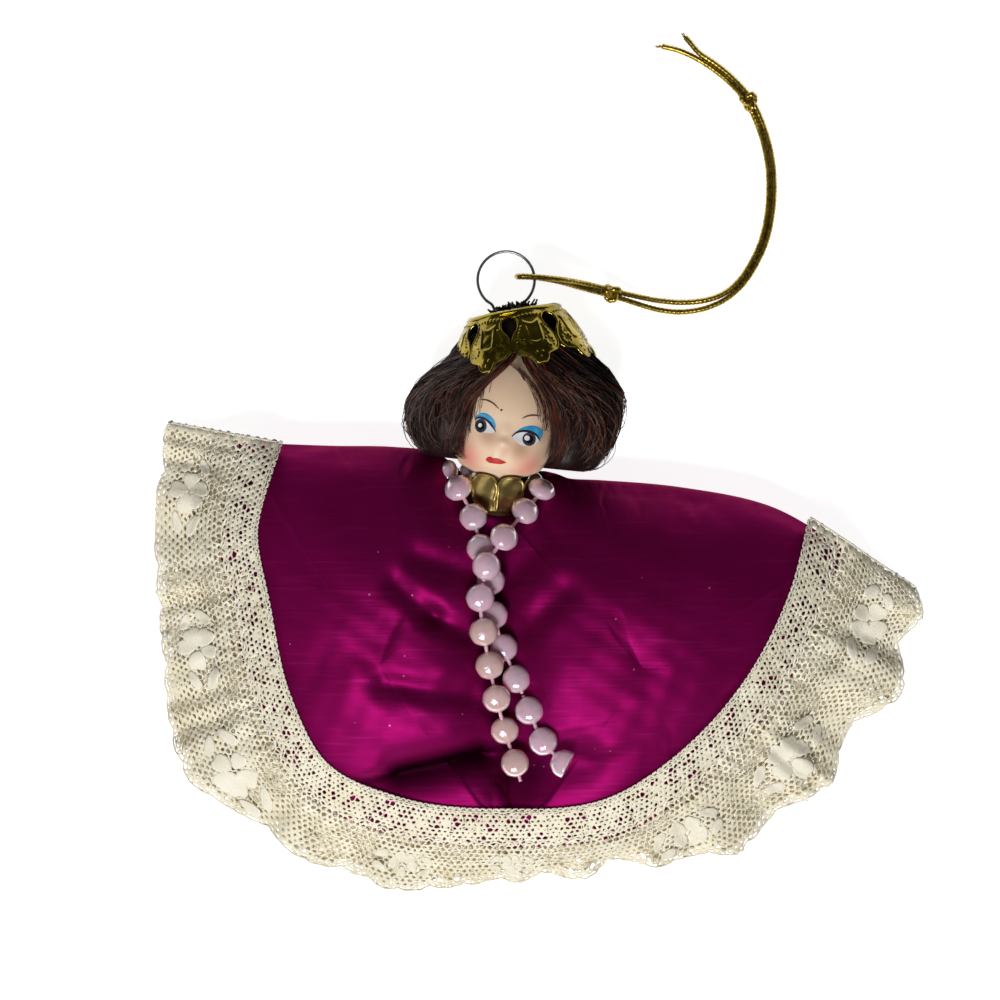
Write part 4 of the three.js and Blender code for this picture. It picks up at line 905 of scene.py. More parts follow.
def petal(shape, along, across, long, wide, turn, notch=0.24):  # a petal with a notch at its tip
    rings, sides = 6, 40
    angle = around(sides)
    fromTip = np.minimum(angle, 2 * math.pi - angle)
    outline = 1 - notch * np.exp(-(fromTip / 0.4) ** 2) + chance.normal(0, 0.03, sides)
    grow = np.linspace(0.2, 1, rings)
    x = (grow[:, None] * np.cos(angle) * outline * long).ravel()
    y = (grow[:, None] * np.sin(angle) * outline * wide * (1 + 0.22 * np.cos(angle))).ravel()
    x, y = np.concatenate([[0], x]), np.concatenate([[0], y])
    u = along + x * math.cos(turn) - y * math.sin(turn)
    v = across + x * math.sin(turn) + y * math.cos(turn)
    ribs = np.where(np.arange(sides) % 2, 0.05, -0.05) * np.minimum(1, grow[:, None] * 1.6)
    rise = 0.2 - 0.1 * grow[:, None] ** 6 + ribs + chance.normal(0, 0.02, (rings, sides))
    lift = np.concatenate([[0.2], rise.ravel()])
    v = np.minimum(v, laceEdge(u) + 0.5)
    points = lace.place(u / laceLength, np.maximum(v, 0.2), lift)
    faces = [[0, 1 + c, 1 + (c + 1) % sides] for c in range(sides)]
    faces += [[1 + q[0], 1 + q[3], 1 + q[2], 1 + q[1]] for q in gridFaces(rings, sides, True)]
    shape.add(points, faces)


def makeFlowers():
    s = laceSettings
    shape = Shape()
    count = int(laceLength / s["flowerPitch"])
    for k in range(count):
        along = (k + 0.5 + 0.12 * math.sin(k * 2.7)) * laceLength / count
        reach = laceEdge(along)
        across = mix(s["heading"], reach, 0.55)
        grow = np.clip((reach - s["heading"]) / 15, 0.6, 1.15)
        for j in range(5):
            turn = math.pi / 2 + (j + 0.2 * math.sin(k * 2.1 + j)) * 2 * math.pi / 5
            size = grow * chance.uniform(0.75, 1.1)
            petal(shape, along + s["petalRing"][0] * grow * math.cos(turn),
                  across + s["petalRing"][1] * grow * math.sin(turn),
                  s["petalSize"][0] * size, s["petalSize"][1] * size, turn)
        for side in (-1, 1):
            for aside, up, long, wide, turn in s["leaves"]:
                petal(shape, along + side * aside * grow, across + up * grow, long * grow, wide * grow,
                      side * turn, 0)
    piece = makePiece("laceFlowers", shape, [finishes["laceThread"]], "cape")
    return threadThick(piece, s["petalThick"], -1)


def makeEdging():  # looped picots, the gathering thread and the corded outer edge
    shape = Shape()
    step = laceSettings["picotStep"]
    t = np.linspace(0, math.pi, 8)
    for i in range(int(laceLength / step)):
        u = (i + 0.5) * step + 0.68 * np.cos(t)
        v = 0.45 - 0.95 * np.sin(t) * (0.8 + 0.2 * math.sin(i * 1.7))
        shape.add(*tube(lace.place(u / laceLength, v, 0.1), 0.17, 5))
    along = np.arange(0.5, laceLength - 0.5, 0.45)
    for outwards, radius, lift, wobble in ((0.7, 0.17, 0.1, 0.08), (7.05, 0.27, 0.05, 0.22)):
        v = outwards + wobble * np.sin(along * 2.3 + np.sin(along * 0.7))
        shape.add(*tube(lace.place(along / laceLength, v, lift), radius, 6))
    for end in (0.5, laceLength - 0.5):
        v = np.arange(0.3, laceEdge(end), 0.4)
        shape.add(*tube(lace.place(np.full(len(v), end / laceLength), v, 0.05), 0.2, 6))
    v = laceEdge(along) + 0.1
    shape.add(*tube(lace.place(along / laceLength, v, 0.05 + 0.1 * np.sin(along * 2.9)), 0.2, 6))
    return makePiece("laceEdging", shape, [finishes["laceThread"]], "cape")


# the net that shows, and the pleats that lie under it
net = makeNet("laceNet", 1.0, 0.7, 0.0, ["lace_heading", "lace_ruffle"])
pleats = makeNet("laceFolds", laceSettings["underGrow"], laceSettings["heading"] + 0.4, laceSettings["under"])
flowers, edging = makeFlowers(), makeEdging()
print("lace gathered on")

# head: moulded vinyl with a painted face
headSettings = {
    "base": (-9.2, 12.2, 13.0), "lean": -6.0, "radius": 10.6, "top": 34.2, "widest": 19.0, "chin": 6.3,
    "neck": 3.0, "jaw": [(0.965, 0.61), (0.87, 0.36), (0.745, 0.205), (0.595, 0.135), (0.435, 0.075)],
    "mould": [((-7.6, 25.7), 1.15, 1.0), ((-14.4, 24.0), 2.8, 0.45), ((-2.4, 21.8), 2.8, 0.45),
              ((-11.2, 29.3), 1.9, -0.4), ((-3.2, 26.8), 1.9, -0.4), ((-9.1, 22.6), 1.7, 0.4),
              ((-9.4, 19.6), 2.2, 0.5), ((-7.2, 28.4), 1.0, 0.25)],
}
skinSettings = {  # each spot has a middle, a reach, a colour and a strength: blush on both cheeks, painted shade under the eyes and under the nose, a brown patch at the right edge of the face, and a painted highlight on the tip of the nose
    "colours": ((248, 218, 188), (240, 206, 174)), "drift": 90.0,
    "spots": [((-15.4, 22.8, 20), 5.6, (226, 128, 118), 0.85), ((-2.2, 20.4, 20), 5.4, (226, 134, 120), 0.8),
              # painted shade under both eyes
              ((-10.2, 26.9, 22.5), 3.1, (176, 120, 76), 0.6), ((-4.4, 24.3, 22.5), 3.4, (170, 110, 70), 0.6),
              # painted shade under the nose, then a brown patch at the right edge of the face
              ((-7.6, 23.7, 23.5), 1.9, (190, 130, 92), 0.5), ((-0.4, 28, 20), 3.0, (180, 110, 70), 0.45),
              # painted highlight on the tip of the nose
              ((-7.6, 25.8, 24.6), 1.0, (238, 206, 170), 0.8)],
}


def leant(points, middle, lean, flip=False):  # from an own upright frame to the table's
    lean = math.radians(lean)
    x, y, z = np.moveaxis(np.asarray(points, float), -1, 0)
    if flip:
        x, y = -x, -y
    return np.stack([middle[0] + x * math.cos(lean) - y * math.sin(lean),
                     middle[1] + x * math.sin(lean) + y * math.cos(lean), middle[2] + z], axis=-1)


def inHead(points):
    return leant(points, headSettings["base"], headSettings["lean"])


def lathe(profile, columns):  # a turned form about the head's own upright, front at the first column
    turn = around(columns)
    profile = np.asarray(profile, float)
    x = profile[:, :1] * np.sin(turn)[None, :]
    z = profile[:, :1] * np.cos(turn)[None, :]
    return np.stack([x, np.broadcast_to(profile[:, 1:], x.shape), z], axis=-1)


def makeHead():
    s = headSettings
    angle = np.radians(np.linspace(1, 90, 44))
    dome = np.column_stack([s["radius"] * np.sin(angle), mix(s["widest"], s["top"], np.cos(angle))])
    jaw = [(s["radius"] * r, mix(s["chin"], s["widest"], rise)) for r, rise in s["jaw"]]
    lower = catmull([(s["radius"], s["widest"]), *jaw, (s["neck"], s["chin"] - 0.6)], 9)[1:]
    stub = [(s["neck"], y) for y in np.linspace(s["chin"] - 0.9, -5.6, 8)]
    stub += [(4.4, -5.8), (4.4, -7.0), (0.2, -7.0)]  # the flange
    grid = inHead(lathe(np.vstack([dome, lower, stub]), 128))
    push = np.zeros(grid.shape[:2])
    front = grid[:, :, 2] > s["base"][2] + 2
    for (x, y), wide, high in s["mould"]:
        push += high * np.exp(-((grid[:, :, 0] - x) ** 2 + (grid[:, :, 1] - y) ** 2) / wide**2) * front
    grid[:, :, 2] += push
    rows, columns = grid.shape[:2]
    return Shape(grid, flipped(gridFaces(rows, columns, True)) + [list(range(columns))])


def makeSkin():
    s = skinSettings
    finish, tree, shader = newFinish("vinylSkin", Specular_IOR_Level=0.4, Subsurface_Weight=0.12,
                                     Subsurface_Scale=1.2 * mm)
    where = addNode(tree, "TexCoord")["Object"]
    colour = drifting(tree, *s["colours"], s["drift"])
    # blush, painted shade and a painted highlight laid over the skin colour
    for at, reach, tint, most in s["spots"]:
        gap = addNode(tree, "VectorMath", where, [v * mm for v in at], operation="DISTANCE")["Value"]
        level = addNode(tree, "MapRange", interpolation_type="SMOOTHSTEP", Value=gap, From_Min=0,
                        From_Max=reach * mm, To_Min=most, To_Max=0)["Result"]
        colour = blend(tree, level, colour, paint(*tint))
    dress(tree, shader, colour, 1200.0, (0.36, 0.52), (0.1, 0.04))
    return finish


headShape = makeHead()
makePiece("dollHead", headShape, [makeSkin()], "head", ["head"])
headTree = BVHTree.FromPolygons(headShape.points[0].tolist(), headShape.faces)

faceSettings = {
    "leftWhite": [(-12.93, 29.79), (-12.55, 30.56), (-11.56, 30.78), (-10.45, 30.01), (-9.57, 28.9),
                  (-9.11, 28.11), (-10.01, 27.8), (-11.34, 27.91), (-12.33, 28.13), (-12.84, 28.9)],
    "rightWhite": [(-5.82, 27.18), (-4.94, 27.91), (-3.62, 28.24), (-2.29, 28.02), (-1.19, 27.47),
                   (-0.53, 26.43), (-1.41, 25.59), (-2.73, 25.31), (-4.06, 25.48), (-5.16, 26.26)],
    "leftIris": ((-11.95, 29.3), 1.16, 1.38), "rightIris": ((-2.47, 26.65), 1.34, 1.34),
    "leftGlint": ((-12.11, 29.39), 0.38, 0.42), "rightGlint": ((-2.91, 26.87), 0.54, 0.54),
    "leftLid": [(-13.06, 30.4), (-12.55, 30.84), (-11.56, 30.84), (-10.45, 30.09), (-9.57, 28.99),
                (-9.0, 28.06)],
    "rightLid": [(-5.91, 27.14), (-5.03, 27.89), (-3.62, 28.26), (-2.29, 28.09), (-1.08, 27.45),
                 (-0.35, 26.3)],
    "leftShade": ([(-12.97, 31.11), (-12.33, 31.66), (-11.34, 31.84), (-10.23, 31.33), (-9.35, 30.4),
                   (-8.98, 29.2)],
                  [(-12.95, 30.5), (-12.22, 30.8), (-11.3, 30.62), (-10.3, 29.9), (-9.7, 29.2),
                   (-9.2, 28.6)]),
    "rightShade": ([(-5.3, 27.85), (-4.28, 28.68), (-3.17, 29.12), (-2.07, 29.3), (-0.75, 29.08),
                    (0.31, 28.13), (0.0, 26.9)],
                   [(-5.2, 27.8), (-4.5, 28.05), (-3.4, 28.3), (-2.2, 28.1), (-1.3, 27.6), (-0.75, 27.1),
                    (-0.4, 26.6)]),
    "leftBrow": [(-11.95, 34.48), (-10.68, 34.31), (-9.46, 33.65), (-8.43, 32.61)],
    "rightBrow": [(-3.88, 30.67), (-2.73, 31.22), (-1.41, 31.37), (-0.35, 31.24)],
    "spot": ((-7.92, 32.37), 0.26, 0.22),
    "lips": ([(-11.0, 22.72), (-10.6, 23.1), (-10.1, 23.2), (-9.55, 22.92), (-9.0, 22.9), (-8.2, 22.66),
              (-7.0, 22.1)],
             [(-10.95, 22.45), (-10.3, 22.0), (-9.6, 21.86), (-8.9, 21.78), (-8.2, 21.72), (-7.6, 21.8),
              (-7.0, 22.0)]),
}
faceTones = [
    ("eyeWhite", (240, 240, 240), (222, 222, 226), 0.25), ("eyeDark", (44, 46, 56), (70, 74, 86), 0.2),
    ("eyePupil", (8, 8, 12), (16, 16, 20), 0.2), ("lidBlue", (24, 132, 196), (80, 176, 222), 0.4),
    ("lidLine", (22, 18, 26), (40, 30, 34), 0.4), ("browBrown", (74, 48, 34), (96, 64, 46), 0.5),
    ("lipRed", (206, 34, 20), (186, 26, 16), 0.5),
]


def onFace(x, y, lift):  # a place just over the face
    hit, normal, _, _ = headTree.ray_cast(Vector((x, y, 90)), Vector((0, 0, -1)))
    if normal.z < 0:
        normal = -normal
    return [*(hit + normal * lift)]


def rowsOnFace(rows, lift):
    return [onFace(x, y, lift) for row in rows for x, y in row]


def paintPatch(shape, outline, lift, finish):  # a painted shape that follows the face
    loop = np.array(outline)
    loop = catmull(np.vstack([loop, loop[:1]]), 6)[:-1]
    middle = loop.mean(axis=0)
    rows = [mix(loop, middle, t) for t in (0, 0.25, 0.5, 0.75)]
    shape.add(rowsOnFace(rows, lift) + [onFace(*middle, lift)], domeFaces(len(rows), len(loop)), finish)


def paintOval(shape, spec, lift, finish):
    (x, y), wide, tall = spec
    turn = around(14)
    paintPatch(shape, np.column_stack([x + wide * np.cos(turn), y + tall * np.sin(turn)]), lift, finish)


def paintBand(shape, upper, lower, lift, finish):  # paint between two lines
    lines = [catmull(upper, 6), catmull(lower, 6)]
    upper, lower = [pick(line, np.linspace(0, lengthsAlong(line)[-1], 26)) for line in lines]
    rows = [mix(upper, lower, t) for t in np.linspace(0, 1, 7)]
    shape.add(rowsOnFace(rows, lift), gridFaces(7, 26), finish)


def paintLine(shape, line, width, lift, finish, taper=0.25):
    path = spaced(catmull(line, 10), 0.12)
    ahead = unit(np.gradient(path, axis=0))
    side = np.column_stack([-ahead[:, 1], ahead[:, 0]])
    t = np.linspace(0, 1, len(path))
    half = width / 2 * (taper + (1 - taper) * np.sin(np.pi * t) ** 0.6)[:, None]
    rows = [path + side * half, path, path - side * half]
    shape.add(rowsOnFace(rows, lift), gridFaces(3, len(path)), finish)


def makeFace():
    s = faceSettings
    tones = [driftFinish(name, first, second, 700.0, 2500.0, (rough, rough + 0.12), (0.08, 0.02))
             for name, first, second, rough in faceTones]
    shape = Shape()
    for side in ("left", "right"):
        paintPatch(shape, s[side + "White"], 0.05, 0)
        paintBand(shape, *s[side + "Shade"], 0.06, 3)
        at, wide, tall = s[side + "Iris"]
        paintOval(shape, s[side + "Iris"], 0.085, 1)
        paintOval(shape, (at, wide * 0.62, tall * 0.62), 0.11, 2)
        paintOval(shape, s[side + "Glint"], 0.135, 0)
        paintLine(shape, s[side + "Lid"], 0.42, 0.15, 4)
        paintLine(shape, s[side + "Brow"], 0.32, 0.06, 5)
    paintOval(shape, s["spot"], 0.06, 5)
    paintBand(shape, *s["lips"], 0.06, 6)
    shape.faces = flipped(shape.faces)
    makePiece("faceEyesAndLips", shape, tones, "head")


makeFace()
print("head and face made")

# wig: a dark bob, parted over the face and combed out to both sides
wigSettings = {
    "half": 21.5, "deep": 13.7, "bottom": 9.8, "top": 39.3, "shift": (1.5, 1.4), "sweep": 2.4,
    "locks": 165, "strands": 10, "loose": 140, "steps": 9,
    "profile": [(0.02, 1), (0.33, 0.975), (0.56, 0.85), (0.73, 0.705), (0.9, 0.56), (0.985, 0.415),
                (1, 0.275), (0.96, 0.14), (0.88, 0.035), (0.76, 0.0)],
    "windowHeights": [9, 11, 14, 17, 22, 25, 28.5, 31], "windowLeft": [45, 43, 34, 29, 27, 20, 9, 1],
    "windowRight": [35, 33, 30, 28, 23, 17, 8, 1], "parting": 0.3, "tuck": 0.1, "wisps": 46, "tufts": 150,
    "lockTones": [0.4, 0.36, 0.2, 0.04], "strandTones": [0.42, 0.34, 0.2, 0.04], "redTone": 3,
    "crownFill": [(0.1, -0.7), (7.6, -0.7), (8.6, -1.6), (9.6, -4.0), (10.6, -7.0)],
    "wispLines": {-1: [(-7.4, 42.2), (-9.6, 39.8), (-12.0, 36.0), (-13.6, 32.0), (-15.2, 28.0)],
                  1: [(-6.8, 42.2), (-4.4, 40.0), (-1.6, 36.4), (0.1, 32.6), (1.0, 28.4)]},
}
hairTones = [("hairDark", (22, 13, 12), (34, 21, 18)), ("hairBrown", (50, 33, 28), (36, 22, 19)),
             ("hairLight", (106, 82, 72), (76, 54, 47)), ("hairRed", (96, 46, 30), (70, 33, 24))]
hairFinishes = [driftFinish(*tone, 300.0, 3000.0, (0.3, 0.48), (0.3, 0.06), Specular_IOR_Level=0.22)
                for tone in hairTones]


def windowAngle(height, side):  # half the opening for the face, at a height above the collar
    s = wigSettings
    angles = s["windowRight"] if side > 0 else s["windowLeft"]
    return np.radians(np.interp(height, s["windowHeights"], angles))


wigLine = spaced(catmull(wigSettings["profile"], 12), 0.01)


def wigPlace(turn, t, scale):  # a place on the hair: turn from the front, t from the top down
    s = wigSettings
    spot = np.stack([np.interp(t, np.linspace(0, 1, len(wigLine)), wigLine[:, k]) for k in range(2)], axis=-1)
    height = mix(s["bottom"], s["top"], spot[..., 1])
    sides = 1 - np.maximum(0, np.cos(turn)) ** 2
    aside = s["shift"][0] + s["sweep"] * sides * np.exp(-(((spot[..., 1] - 0.66) / 0.2) ** 2))
    x = aside + s["half"] * spot[..., 0] * scale * np.sin(turn)
    z = s["shift"][1] + s["deep"] * spot[..., 0] * scale * np.cos(turn)
    return np.stack([x, height, z], axis=-1)


def hairUnderlay(shape):  # the close hair that the locks lie on
    rows, columns = 34, 72
    t = np.linspace(0.02, 1, rows)
    heights = wigPlace(np.zeros(rows), t, 1.0)[:, 1]
    right, left = windowAngle(heights, 1), windowAngle(heights, -1)
    span = np.linspace(0, 1, columns)
    turn = right[:, None] + 0.03 + span[None, :] * (2 * math.pi - right - left - 0.06)[:, None]
    rim = np.minimum(span, 1 - span) * 2
    scale = mix(0.82, 0.92, smooth(rim / 0.12))[None, :] * np.ones((rows, 1))
    scale += 0.02 * np.sin(turn * 23 + 2 * np.sin(t * 9)[:, None])
    cap = wigPlace(turn, np.broadcast_to(t[:, None], turn.shape), scale)
    shape.add(inHead(cap), flipped(gridFaces(rows, columns)))


def hairUnderCrown(shape):  # the hair that fills the crown
    profile = wigSettings["crownFill"]
    dome = lathe(profile, 48)
    dome[..., 0] += 0.15 * np.sin(dome[..., 2] * 4)
    shape.add(inCrown(dome), gridFaces(len(profile), 48, True))


def hairStrand(start, first, last, wave, depth):  # a line of hair, and how near it comes to the face
    s = wigSettings
    sway, pace, phase = wave
    steps = np.linspace(first, last, s["steps"])
    heights = wigPlace(0 * steps, steps, 1.0)[:, 1]
    side = 1 if start > 0 else -1
    fall = (steps - first) / (last - first)
    own = abs(start) * mix(s["parting"], 1.0, smooth(fall / 0.8)) + sway * np.sin(fall * pace + phase)
    opening = windowAngle(heights, side)
    turn = side * np.maximum(own, opening + 0.02 + 0.12 * abs(math.sin(phase * 3 + start * 40)))
    near = smooth(1 - (np.abs(turn) - opening) / 0.3)
    depths = depth - 0.15 * near - s["tuck"] * smooth((fall - 0.8) / 0.2)
    depths = depths + 0.4 * sway * np.sin(fall * pace * 1.3 + phase)
    return catmull(inHead(wigPlace(turn, steps, depths)), 2), near.max()


def makeWig():
    s = wigSettings
    shape = Shape()
    hairUnderlay(shape)
    hairUnderCrown(shape)
    for i in range(s["locks"]):
        start = chance.uniform(-math.pi, math.pi) if i % 3 == 0 else chance.uniform(-2.0, 2.0)
        first, last = chance.uniform(0.06, 0.3), chance.uniform(0.84, 1.0)
        if i % 4 == 0:
            first = chance.uniform(0.3, 0.55)
        wave = [chance.uniform(0.03, 0.1), chance.uniform(4, 9), chance.uniform(0, 6)]
        depth = 0.985 - abs(chance.normal(0, 0.035))
        tone = chance.choice(len(hairTones), p=s["lockTones"])
        for _ in range(s["strands"]):
            ownWave = (wave[0], wave[1] * chance.normal(1, 0.05), wave[2] + chance.normal(0, 0.4))
            line, near = hairStrand(start + chance.normal(0, 0.055), first + chance.uniform(-0.04, 0.04),
                                    min(1.0, last + chance.normal(0, 0.03)), ownWave,
                                    depth + chance.normal(0, 0.014))
            own = tone if chance.uniform() < 0.55 else chance.choice(len(hairTones), p=s["strandTones"])
            if near > 0.6 and chance.uniform() < 0.4:
                own = s["redTone"]
            taper = 0.17 * (1.05 - np.linspace(0, 1, len(line)) ** 3) * chance.uniform(0.6, 1.25)
            shape.add(*tube(line, taper, 3), int(own))
    for _ in range(s["loose"]):  # hairs that stand off
        wave = (chance.uniform(0.05, 0.14), chance.uniform(4, 10), chance.uniform(0, 6))
        line, _ = hairStrand(chance.uniform(-2, 2), chance.uniform(0.2, 0.6), chance.uniform(0.75, 1.0), wave,
                             chance.uniform(0.97, 1.005))
        shape.add(*tube(line, 0.075, 3), int(chance.choice([1, 2, 2, 3])))
    addWisps(shape)
    addTufts(shape)
    makePiece("wigHair", shape, hairFinishes, "head", ["wig"])


def addWisps(shape):  # thin hairs that lie on the forehead along the edge of the opening
    for i in range(wigSettings["wisps"]):
        side = 1 if i % 2 else -1
        line = catmull(wigSettings["wispLines"][side], 6)
        first, last = sorted(chance.uniform(0, 1, 2))
        path = pick(line, np.linspace(first, max(last, first + 0.35), 14) * lengthsAlong(line)[-1])
        inwards = np.linspace(0, 1, 14) ** 1.5 * chance.uniform(-0.4, 1.5) + chance.uniform(-0.8, 0.5)
        path[:, 0] -= side * inwards
        path[:, 0] += 0.15 * np.sin(np.linspace(0, 1, 14) * chance.uniform(4, 9) + i)
        spots = [onFace(x, y, 0.3 + 0.15 * math.sin(i)) for x, y in path]
        shape.add(*tube(spots, 0.06, 3), int(chance.choice([1, 3, 3])))


def addTufts(shape):  # short ends that stick out over the top of the crown
    for _ in range(wigSettings["tufts"]):
        foot = np.array([chance.uniform(-4.6, 3.4), chance.uniform(-0.5, 0.0), chance.uniform(-4, 6.5)])
        aim = np.array([chance.uniform(-0.9, 1.3), 0.9, chance.normal(0.2, 0.3)]) * chance.uniform(0.7, 1.9)
        line = foot + np.linspace(0, 1, 5)[:, None] * aim
        line = line + np.array([0.25, 0, 0]) * np.sin(np.linspace(0, 3, 5))[:, None]
        shape.add(*tube(inCrown(line), 0.22, 3), int(chance.choice([0, 0, 1])))


# crown and collar: stamped gold caps
capSettings = {
    "crownMiddle": (-5.485, 52.33, 15.2), "crownLean": 10.0, "thick": 0.45,
    "crown": {"petals": 8, "radius": 9.4, "hole": 0.05, "length": 13.2, "width": 9.9, "flare": 26.0,
              "turn": -8.0, "rows": 64, "columns": 45, "bow": 0.075,
              "outline": [(0, 0.95), (0.06, 0.9), (0.12, 0.68), (0.22, 0.54), (0.32, 0.6), (0.42, 0.82),
                          (0.52, 0.95), (0.64, 0.98), (0.74, 0.86), (0.8, 0.6), (0.84, 0.42), (0.92, 0.33),
                          (0.97, 0.22), (1, 0.02)]},
    "collar": {"petals": 6, "radius": 3.9, "hole": 3.3, "length": 7.7, "width": 6.2, "flare": 18.5,
               "turn": 0.0, "rows": 40, "columns": 27, "bow": 0.05,
               "outline": [(0, 0.66), (0.28, 0.78), (0.55, 0.95), (0.7, 1), (0.82, 0.9), (0.92, 0.66),
                           (0.98, 0.36), (1, 0.03)]},
}


def inCrown(points):
    return leant(points, capSettings["crownMiddle"], capSettings["crownLean"])


def inCollar(points):
    return leant(points, headSettings["base"], headSettings["lean"], True)


def embossed(x, y, half, length, ornate):  # height of the stamped pattern on a petal
    edge = np.minimum(half - np.abs(x), (length - y) * 0.9)
    height = 0.26 * np.exp(-((edge - 0.2) / 0.15) ** 2)
    if not ornate:
        return height + 0.28 * wander(x * 1.1, y * 0.8 + 2)
    arms = np.abs((y - 6.4) / 2.4 + 0.35 * (np.abs(x) / 1.5) ** 2)
    shield = np.abs(np.maximum(np.abs(x) / 1.55, arms) - 0.9)
    height += 0.24 * np.exp(-(shield / 0.13) ** 2)
    dots = [(dx, 1.9) for dx in np.linspace(-2.6, 2.6, 8)]
    dots += [(side * (2.2 + 0.3 * k), 4.4 + 0.62 * k) for side in (-1, 1) for k in range(4)]
    for side in (-1, 1):
        dots += [(side * 2.95 + 0.95 * math.cos(a), 8.2 + 0.95 * math.sin(a)) for a in around(8)]
    dots += [(0, 11.6), (0.6, 10.6), (-0.6, 10.6)]
    for dx, dy in dots:
        height += 0.3 * np.exp(-((x - dx) ** 2 + (y - dy) ** 2) / 0.2**2)
    return height + 0.05 * wander(x * 1.7, y * 1.3)


def capFoot(radius, hole):  # section of the ring that the petals hang from
    foot = [(hole, -0.4), (hole, 0.02), (radius * 0.35, 0.14), (radius * 0.5, -0.02), (radius * 0.8, 0.04),
            (radius * 0.93, 0.0), (radius * 1.0, -0.22), (radius * 1.03, -0.7), (radius * 0.985, -0.8),
            (radius * 0.95, -0.5), (hole, -0.4)]
    return catmull([spot for spot in foot if spot[0] >= hole], 5)


def capShape(s, ornate, settle):
    rows, columns, length, lean = s["rows"], s["columns"], s["length"], math.radians(s["flare"])
    line = catmull(s["outline"], 12)
    along = np.linspace(0, 1, rows)
    order = np.argsort(line[:, 0])
    half = np.interp(along, line[order, 0], line[order, 1]) * s["width"] / 2
    x = half[:, None] * np.linspace(-1, 1, columns)[None, :]
    y = np.broadcast_to((along * length)[:, None], x.shape)
    rise = embossed(x, y, half[:, None], length, ornate)
    bend = -s["bow"] * x**2 + 0.5 * np.sin(along * math.pi)[:, None] * (length / 12)
    faces = gridFaces(rows, columns)
    edge = list(range(columns)) + [r * columns + columns - 1 for r in range(1, rows)]
    edge += [(rows - 1) * columns + c for c in range(columns - 2, -1, -1)]
    edge += [r * columns for r in range(rows - 2, 0, -1)]
    count = rows * columns
    walls = [[edge[k], edge[k - 1], edge[k - 1] + count, edge[k] + count] for k in range(len(edge))]
    both = flipped(faces + [[i + count for i in face[::-1]] for face in faces] + walls)
    shape = Shape()
    for number in range(s["petals"]):
        turn = (number + 0.5) / s["petals"] * 2 * math.pi + math.radians(s["turn"])
        sheets = []
        for lift in (bend + rise, bend - capSettings["thick"] * 0.6):
            down = -y * math.cos(lean) + lift * math.sin(lean)
            out = s["radius"] - 0.2 + y * math.sin(lean) + lift * math.cos(lean)
            sheet = [x * math.cos(turn) + out * math.sin(turn), down,
                     out * math.cos(turn) - x * math.sin(turn)]
            sheets.append(np.stack(sheet, axis=-1).reshape(-1, 3))
        shape.add(settle(np.concatenate(sheets)), both)
    ring = capFoot(s["radius"], s["hole"])
    shape.add(settle(lathe(ring, 64)), gridFaces(len(ring), 64, True))
    return shape


crownShape = capShape(capSettings["crown"], True, inCrown)
makePiece("crownCap", crownShape, [finishes["crownGold"]], "head", ["crown"])
collarShape = capShape(capSettings["collar"], False, inCollar)
makePiece("collarCap", collarShape, [finishes["collarBrass"]], "collar", ["collar"])
print("crown and collar stamped")

makeWig()
print("wig combed")

# hanger wire
wireSettings = {"radius": 0.3, "middle": (-6.985, 58.6, 13), "ring": 5.7, "gap": 44, "legDepth": 13,
                "hook": 1.8}


def makeWire():
    s = wireSettings
    x, y, z = s["middle"]
    turn = np.radians(np.linspace(s["gap"] / 2, 360 - s["gap"] / 2, 44) - 90)
    arc = np.column_stack([x + s["ring"] * np.cos(turn), y + s["ring"] * np.sin(turn), np.full(len(turn), z)])
    spread = s["ring"] * math.sin(math.radians(s["gap"] / 2))
    neck = y - s["ring"] * math.cos(math.radians(s["gap"] / 2))
    foot = capSettings["crownMiddle"][1] - s["legDepth"]
    right, left = [[(x + side * spread, neck - 1.6, z), (x + side * spread, (neck + foot) / 2, z),
                    (x + side * spread, foot + s["hook"], z), (x + side * (spread + s["hook"]), foot, z)]
                   for side in (1, -1)]
    path = spaced(catmull(np.vstack([right[::-1], arc[::2], left]), 6), 0.4)
    shape = Shape(*tube(path, s["radius"], 12, lambda length, turn: 1 + 0.02 * np.sin(length * 5)))
    makePiece("hangerLoop", shape, [finishes["wireSteel"]], "head", ["hanger_wire"])


makeWire()
print("wire bent")

# beads: flat moulded lentils with ground facets
beadSettings = {
    "diameter": 5.8, "thick": 3.6, "sides": 32, "thread": 0.36, "broken": 0.9, "peachFrom": 6,
    "rows": [(0.01, 1.0), (0.22, 0.985), (0.44, 0.92), (0.64, 0.79), (0.8, 0.6), (0.92, 0.36)],
    "tips": {"a": 3.85, "b": 0.5},
}


def beadMiddle(node):
    low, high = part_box(node)
    return np.array([(low[k] + high[k]) / 2 / mm for k in range(3)])


def beadShape(at, along, facing, cut=None):
    s = beadSettings
    r, h, n = s["diameter"] / 2, s["thick"] / 2, s["sides"]
    across = unit(np.cross(along, facing))
    out = np.cross(across, along)
    rows = s["rows"] + [(1.0, 0.0)] + [(wide, -high) for wide, high in s["rows"][::-1]]
    turn = around(n)
    ground = 1 - 0.025 * np.abs(np.sin(turn * 4))
    points = []
    for wide, high in rows:
        reach = wide * r * mix(1.0, ground, wide**2)
        height = high * h * mix(1.0, ground, 4 * wide * (1 - wide))
        points.append(np.stack([reach * np.cos(turn), reach * np.sin(turn), height], axis=1))
    flat = np.vstack(points)
    if cut is not None:
        flat[:, 1] = np.minimum(flat[:, 1], cut + 0.35 * flat[:, 0])
    placed = at + flat[:, :1] * across + flat[:, 1:2] * along + flat[:, 2:] * out
    return Shape(placed, gridFaces(len(rows), n, True))


def nodesFrom(start):
    return sorted(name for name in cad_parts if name.startswith(start))


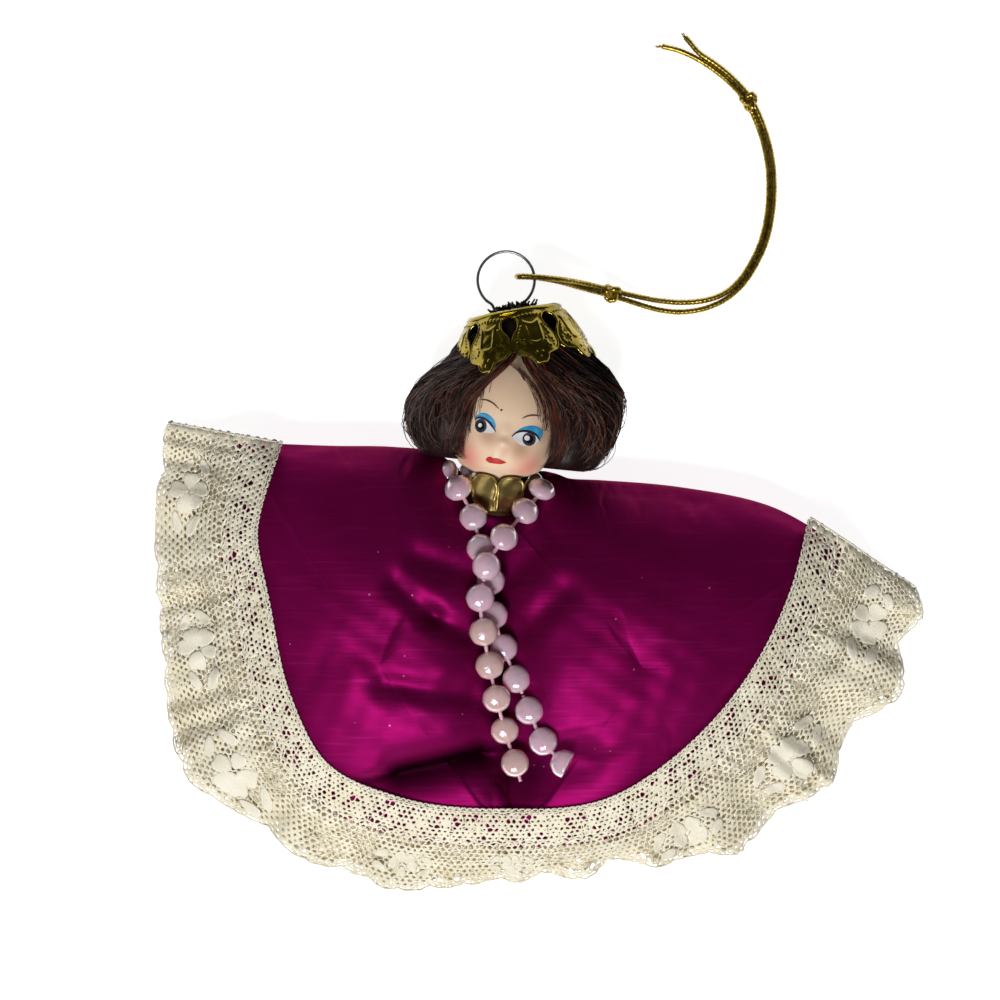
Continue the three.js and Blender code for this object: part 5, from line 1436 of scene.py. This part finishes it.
neckNames = nodesFrom("neck_bead")
tailNames = {letter: nodesFrom(f"tail_{letter}_bead") for letter in "ab"}
middles = {name: beadMiddle(name) for name in neckNames + tailNames["a"] + tailNames["b"]}
split = next(i for i, (before, name) in enumerate(zip(neckNames, neckNames[1:]), 1)
             if middles[name][2] < 8 and middles[before][1] < 10)  # the second run starts behind the neck
runs = {"a": neckNames[:split] + tailNames["a"], "b": neckNames[split:] + tailNames["b"]}
for letter, names in runs.items():
    for i, name in enumerate(names):
        at = middles[name]
        along = unit(middles[names[min(i + 1, len(names) - 1)]] - middles[names[max(i - 1, 0)]])
        x, _, z = at - headSettings["base"]
        facing = np.array([0.0, 0, 1]) if z > 0 else unit(np.array([x, 0, z]))
        last = letter == "b" and i == len(names) - 1
        shape = beadShape(at, along, facing, beadSettings["broken"] if last else None)
        body = f"tail_{letter}" if name.startswith("tail") else "cape"
        finish = beadPeach if letter == "a" and i >= beadSettings["peachFrom"] else beadPink
        title = "bead" + "".join(part.capitalize() for part in name.split("_") if part != "bead")
        makePiece(title, shape, [finish], body, [name])


def threadShape(names, ends):
    path = np.array([middles[name] for name in names])
    line = spaced(catmull(np.vstack([ends[0], path, ends[1]]), 8), 0.5)
    twisted = tube(line, beadSettings["thread"], 8, lambda length, turn: 1 + 0.12 * np.sin(length * 2.1))
    return Shape(*twisted), line


def between(a, b, share):
    return mix(middles[a], middles[b], share)


neckRun = runs["a"][:split][::-1] + runs["b"][:len(neckNames) - split]
neckEnds = [between(neckRun[end], tailNames[letter][0], 0.47) for end, letter in ((0, "a"), (-1, "b"))]
shape, _ = threadShape(neckRun, neckEnds)
makePiece("neckThread", shape, [finishes["beadThread"]], "cape", ["neck_thread"])
for letter in "ab":
    names = tailNames[letter]
    before = runs[letter][len(runs[letter]) - len(names) - 1]
    step = unit(middles[names[-1]] - middles[names[-2]])
    tip = middles[names[-1]] + step * beadSettings["tips"][letter]
    shape, line = threadShape(names, (between(before, names[0], 0.53), tip))
    thread = makePiece(f"tailThread{letter.upper()}", shape, [finishes["beadThread"]], f"tail_{letter}",
                       [f"tail_{letter}_thread"])
print("beads strung")

print("all pieces made")
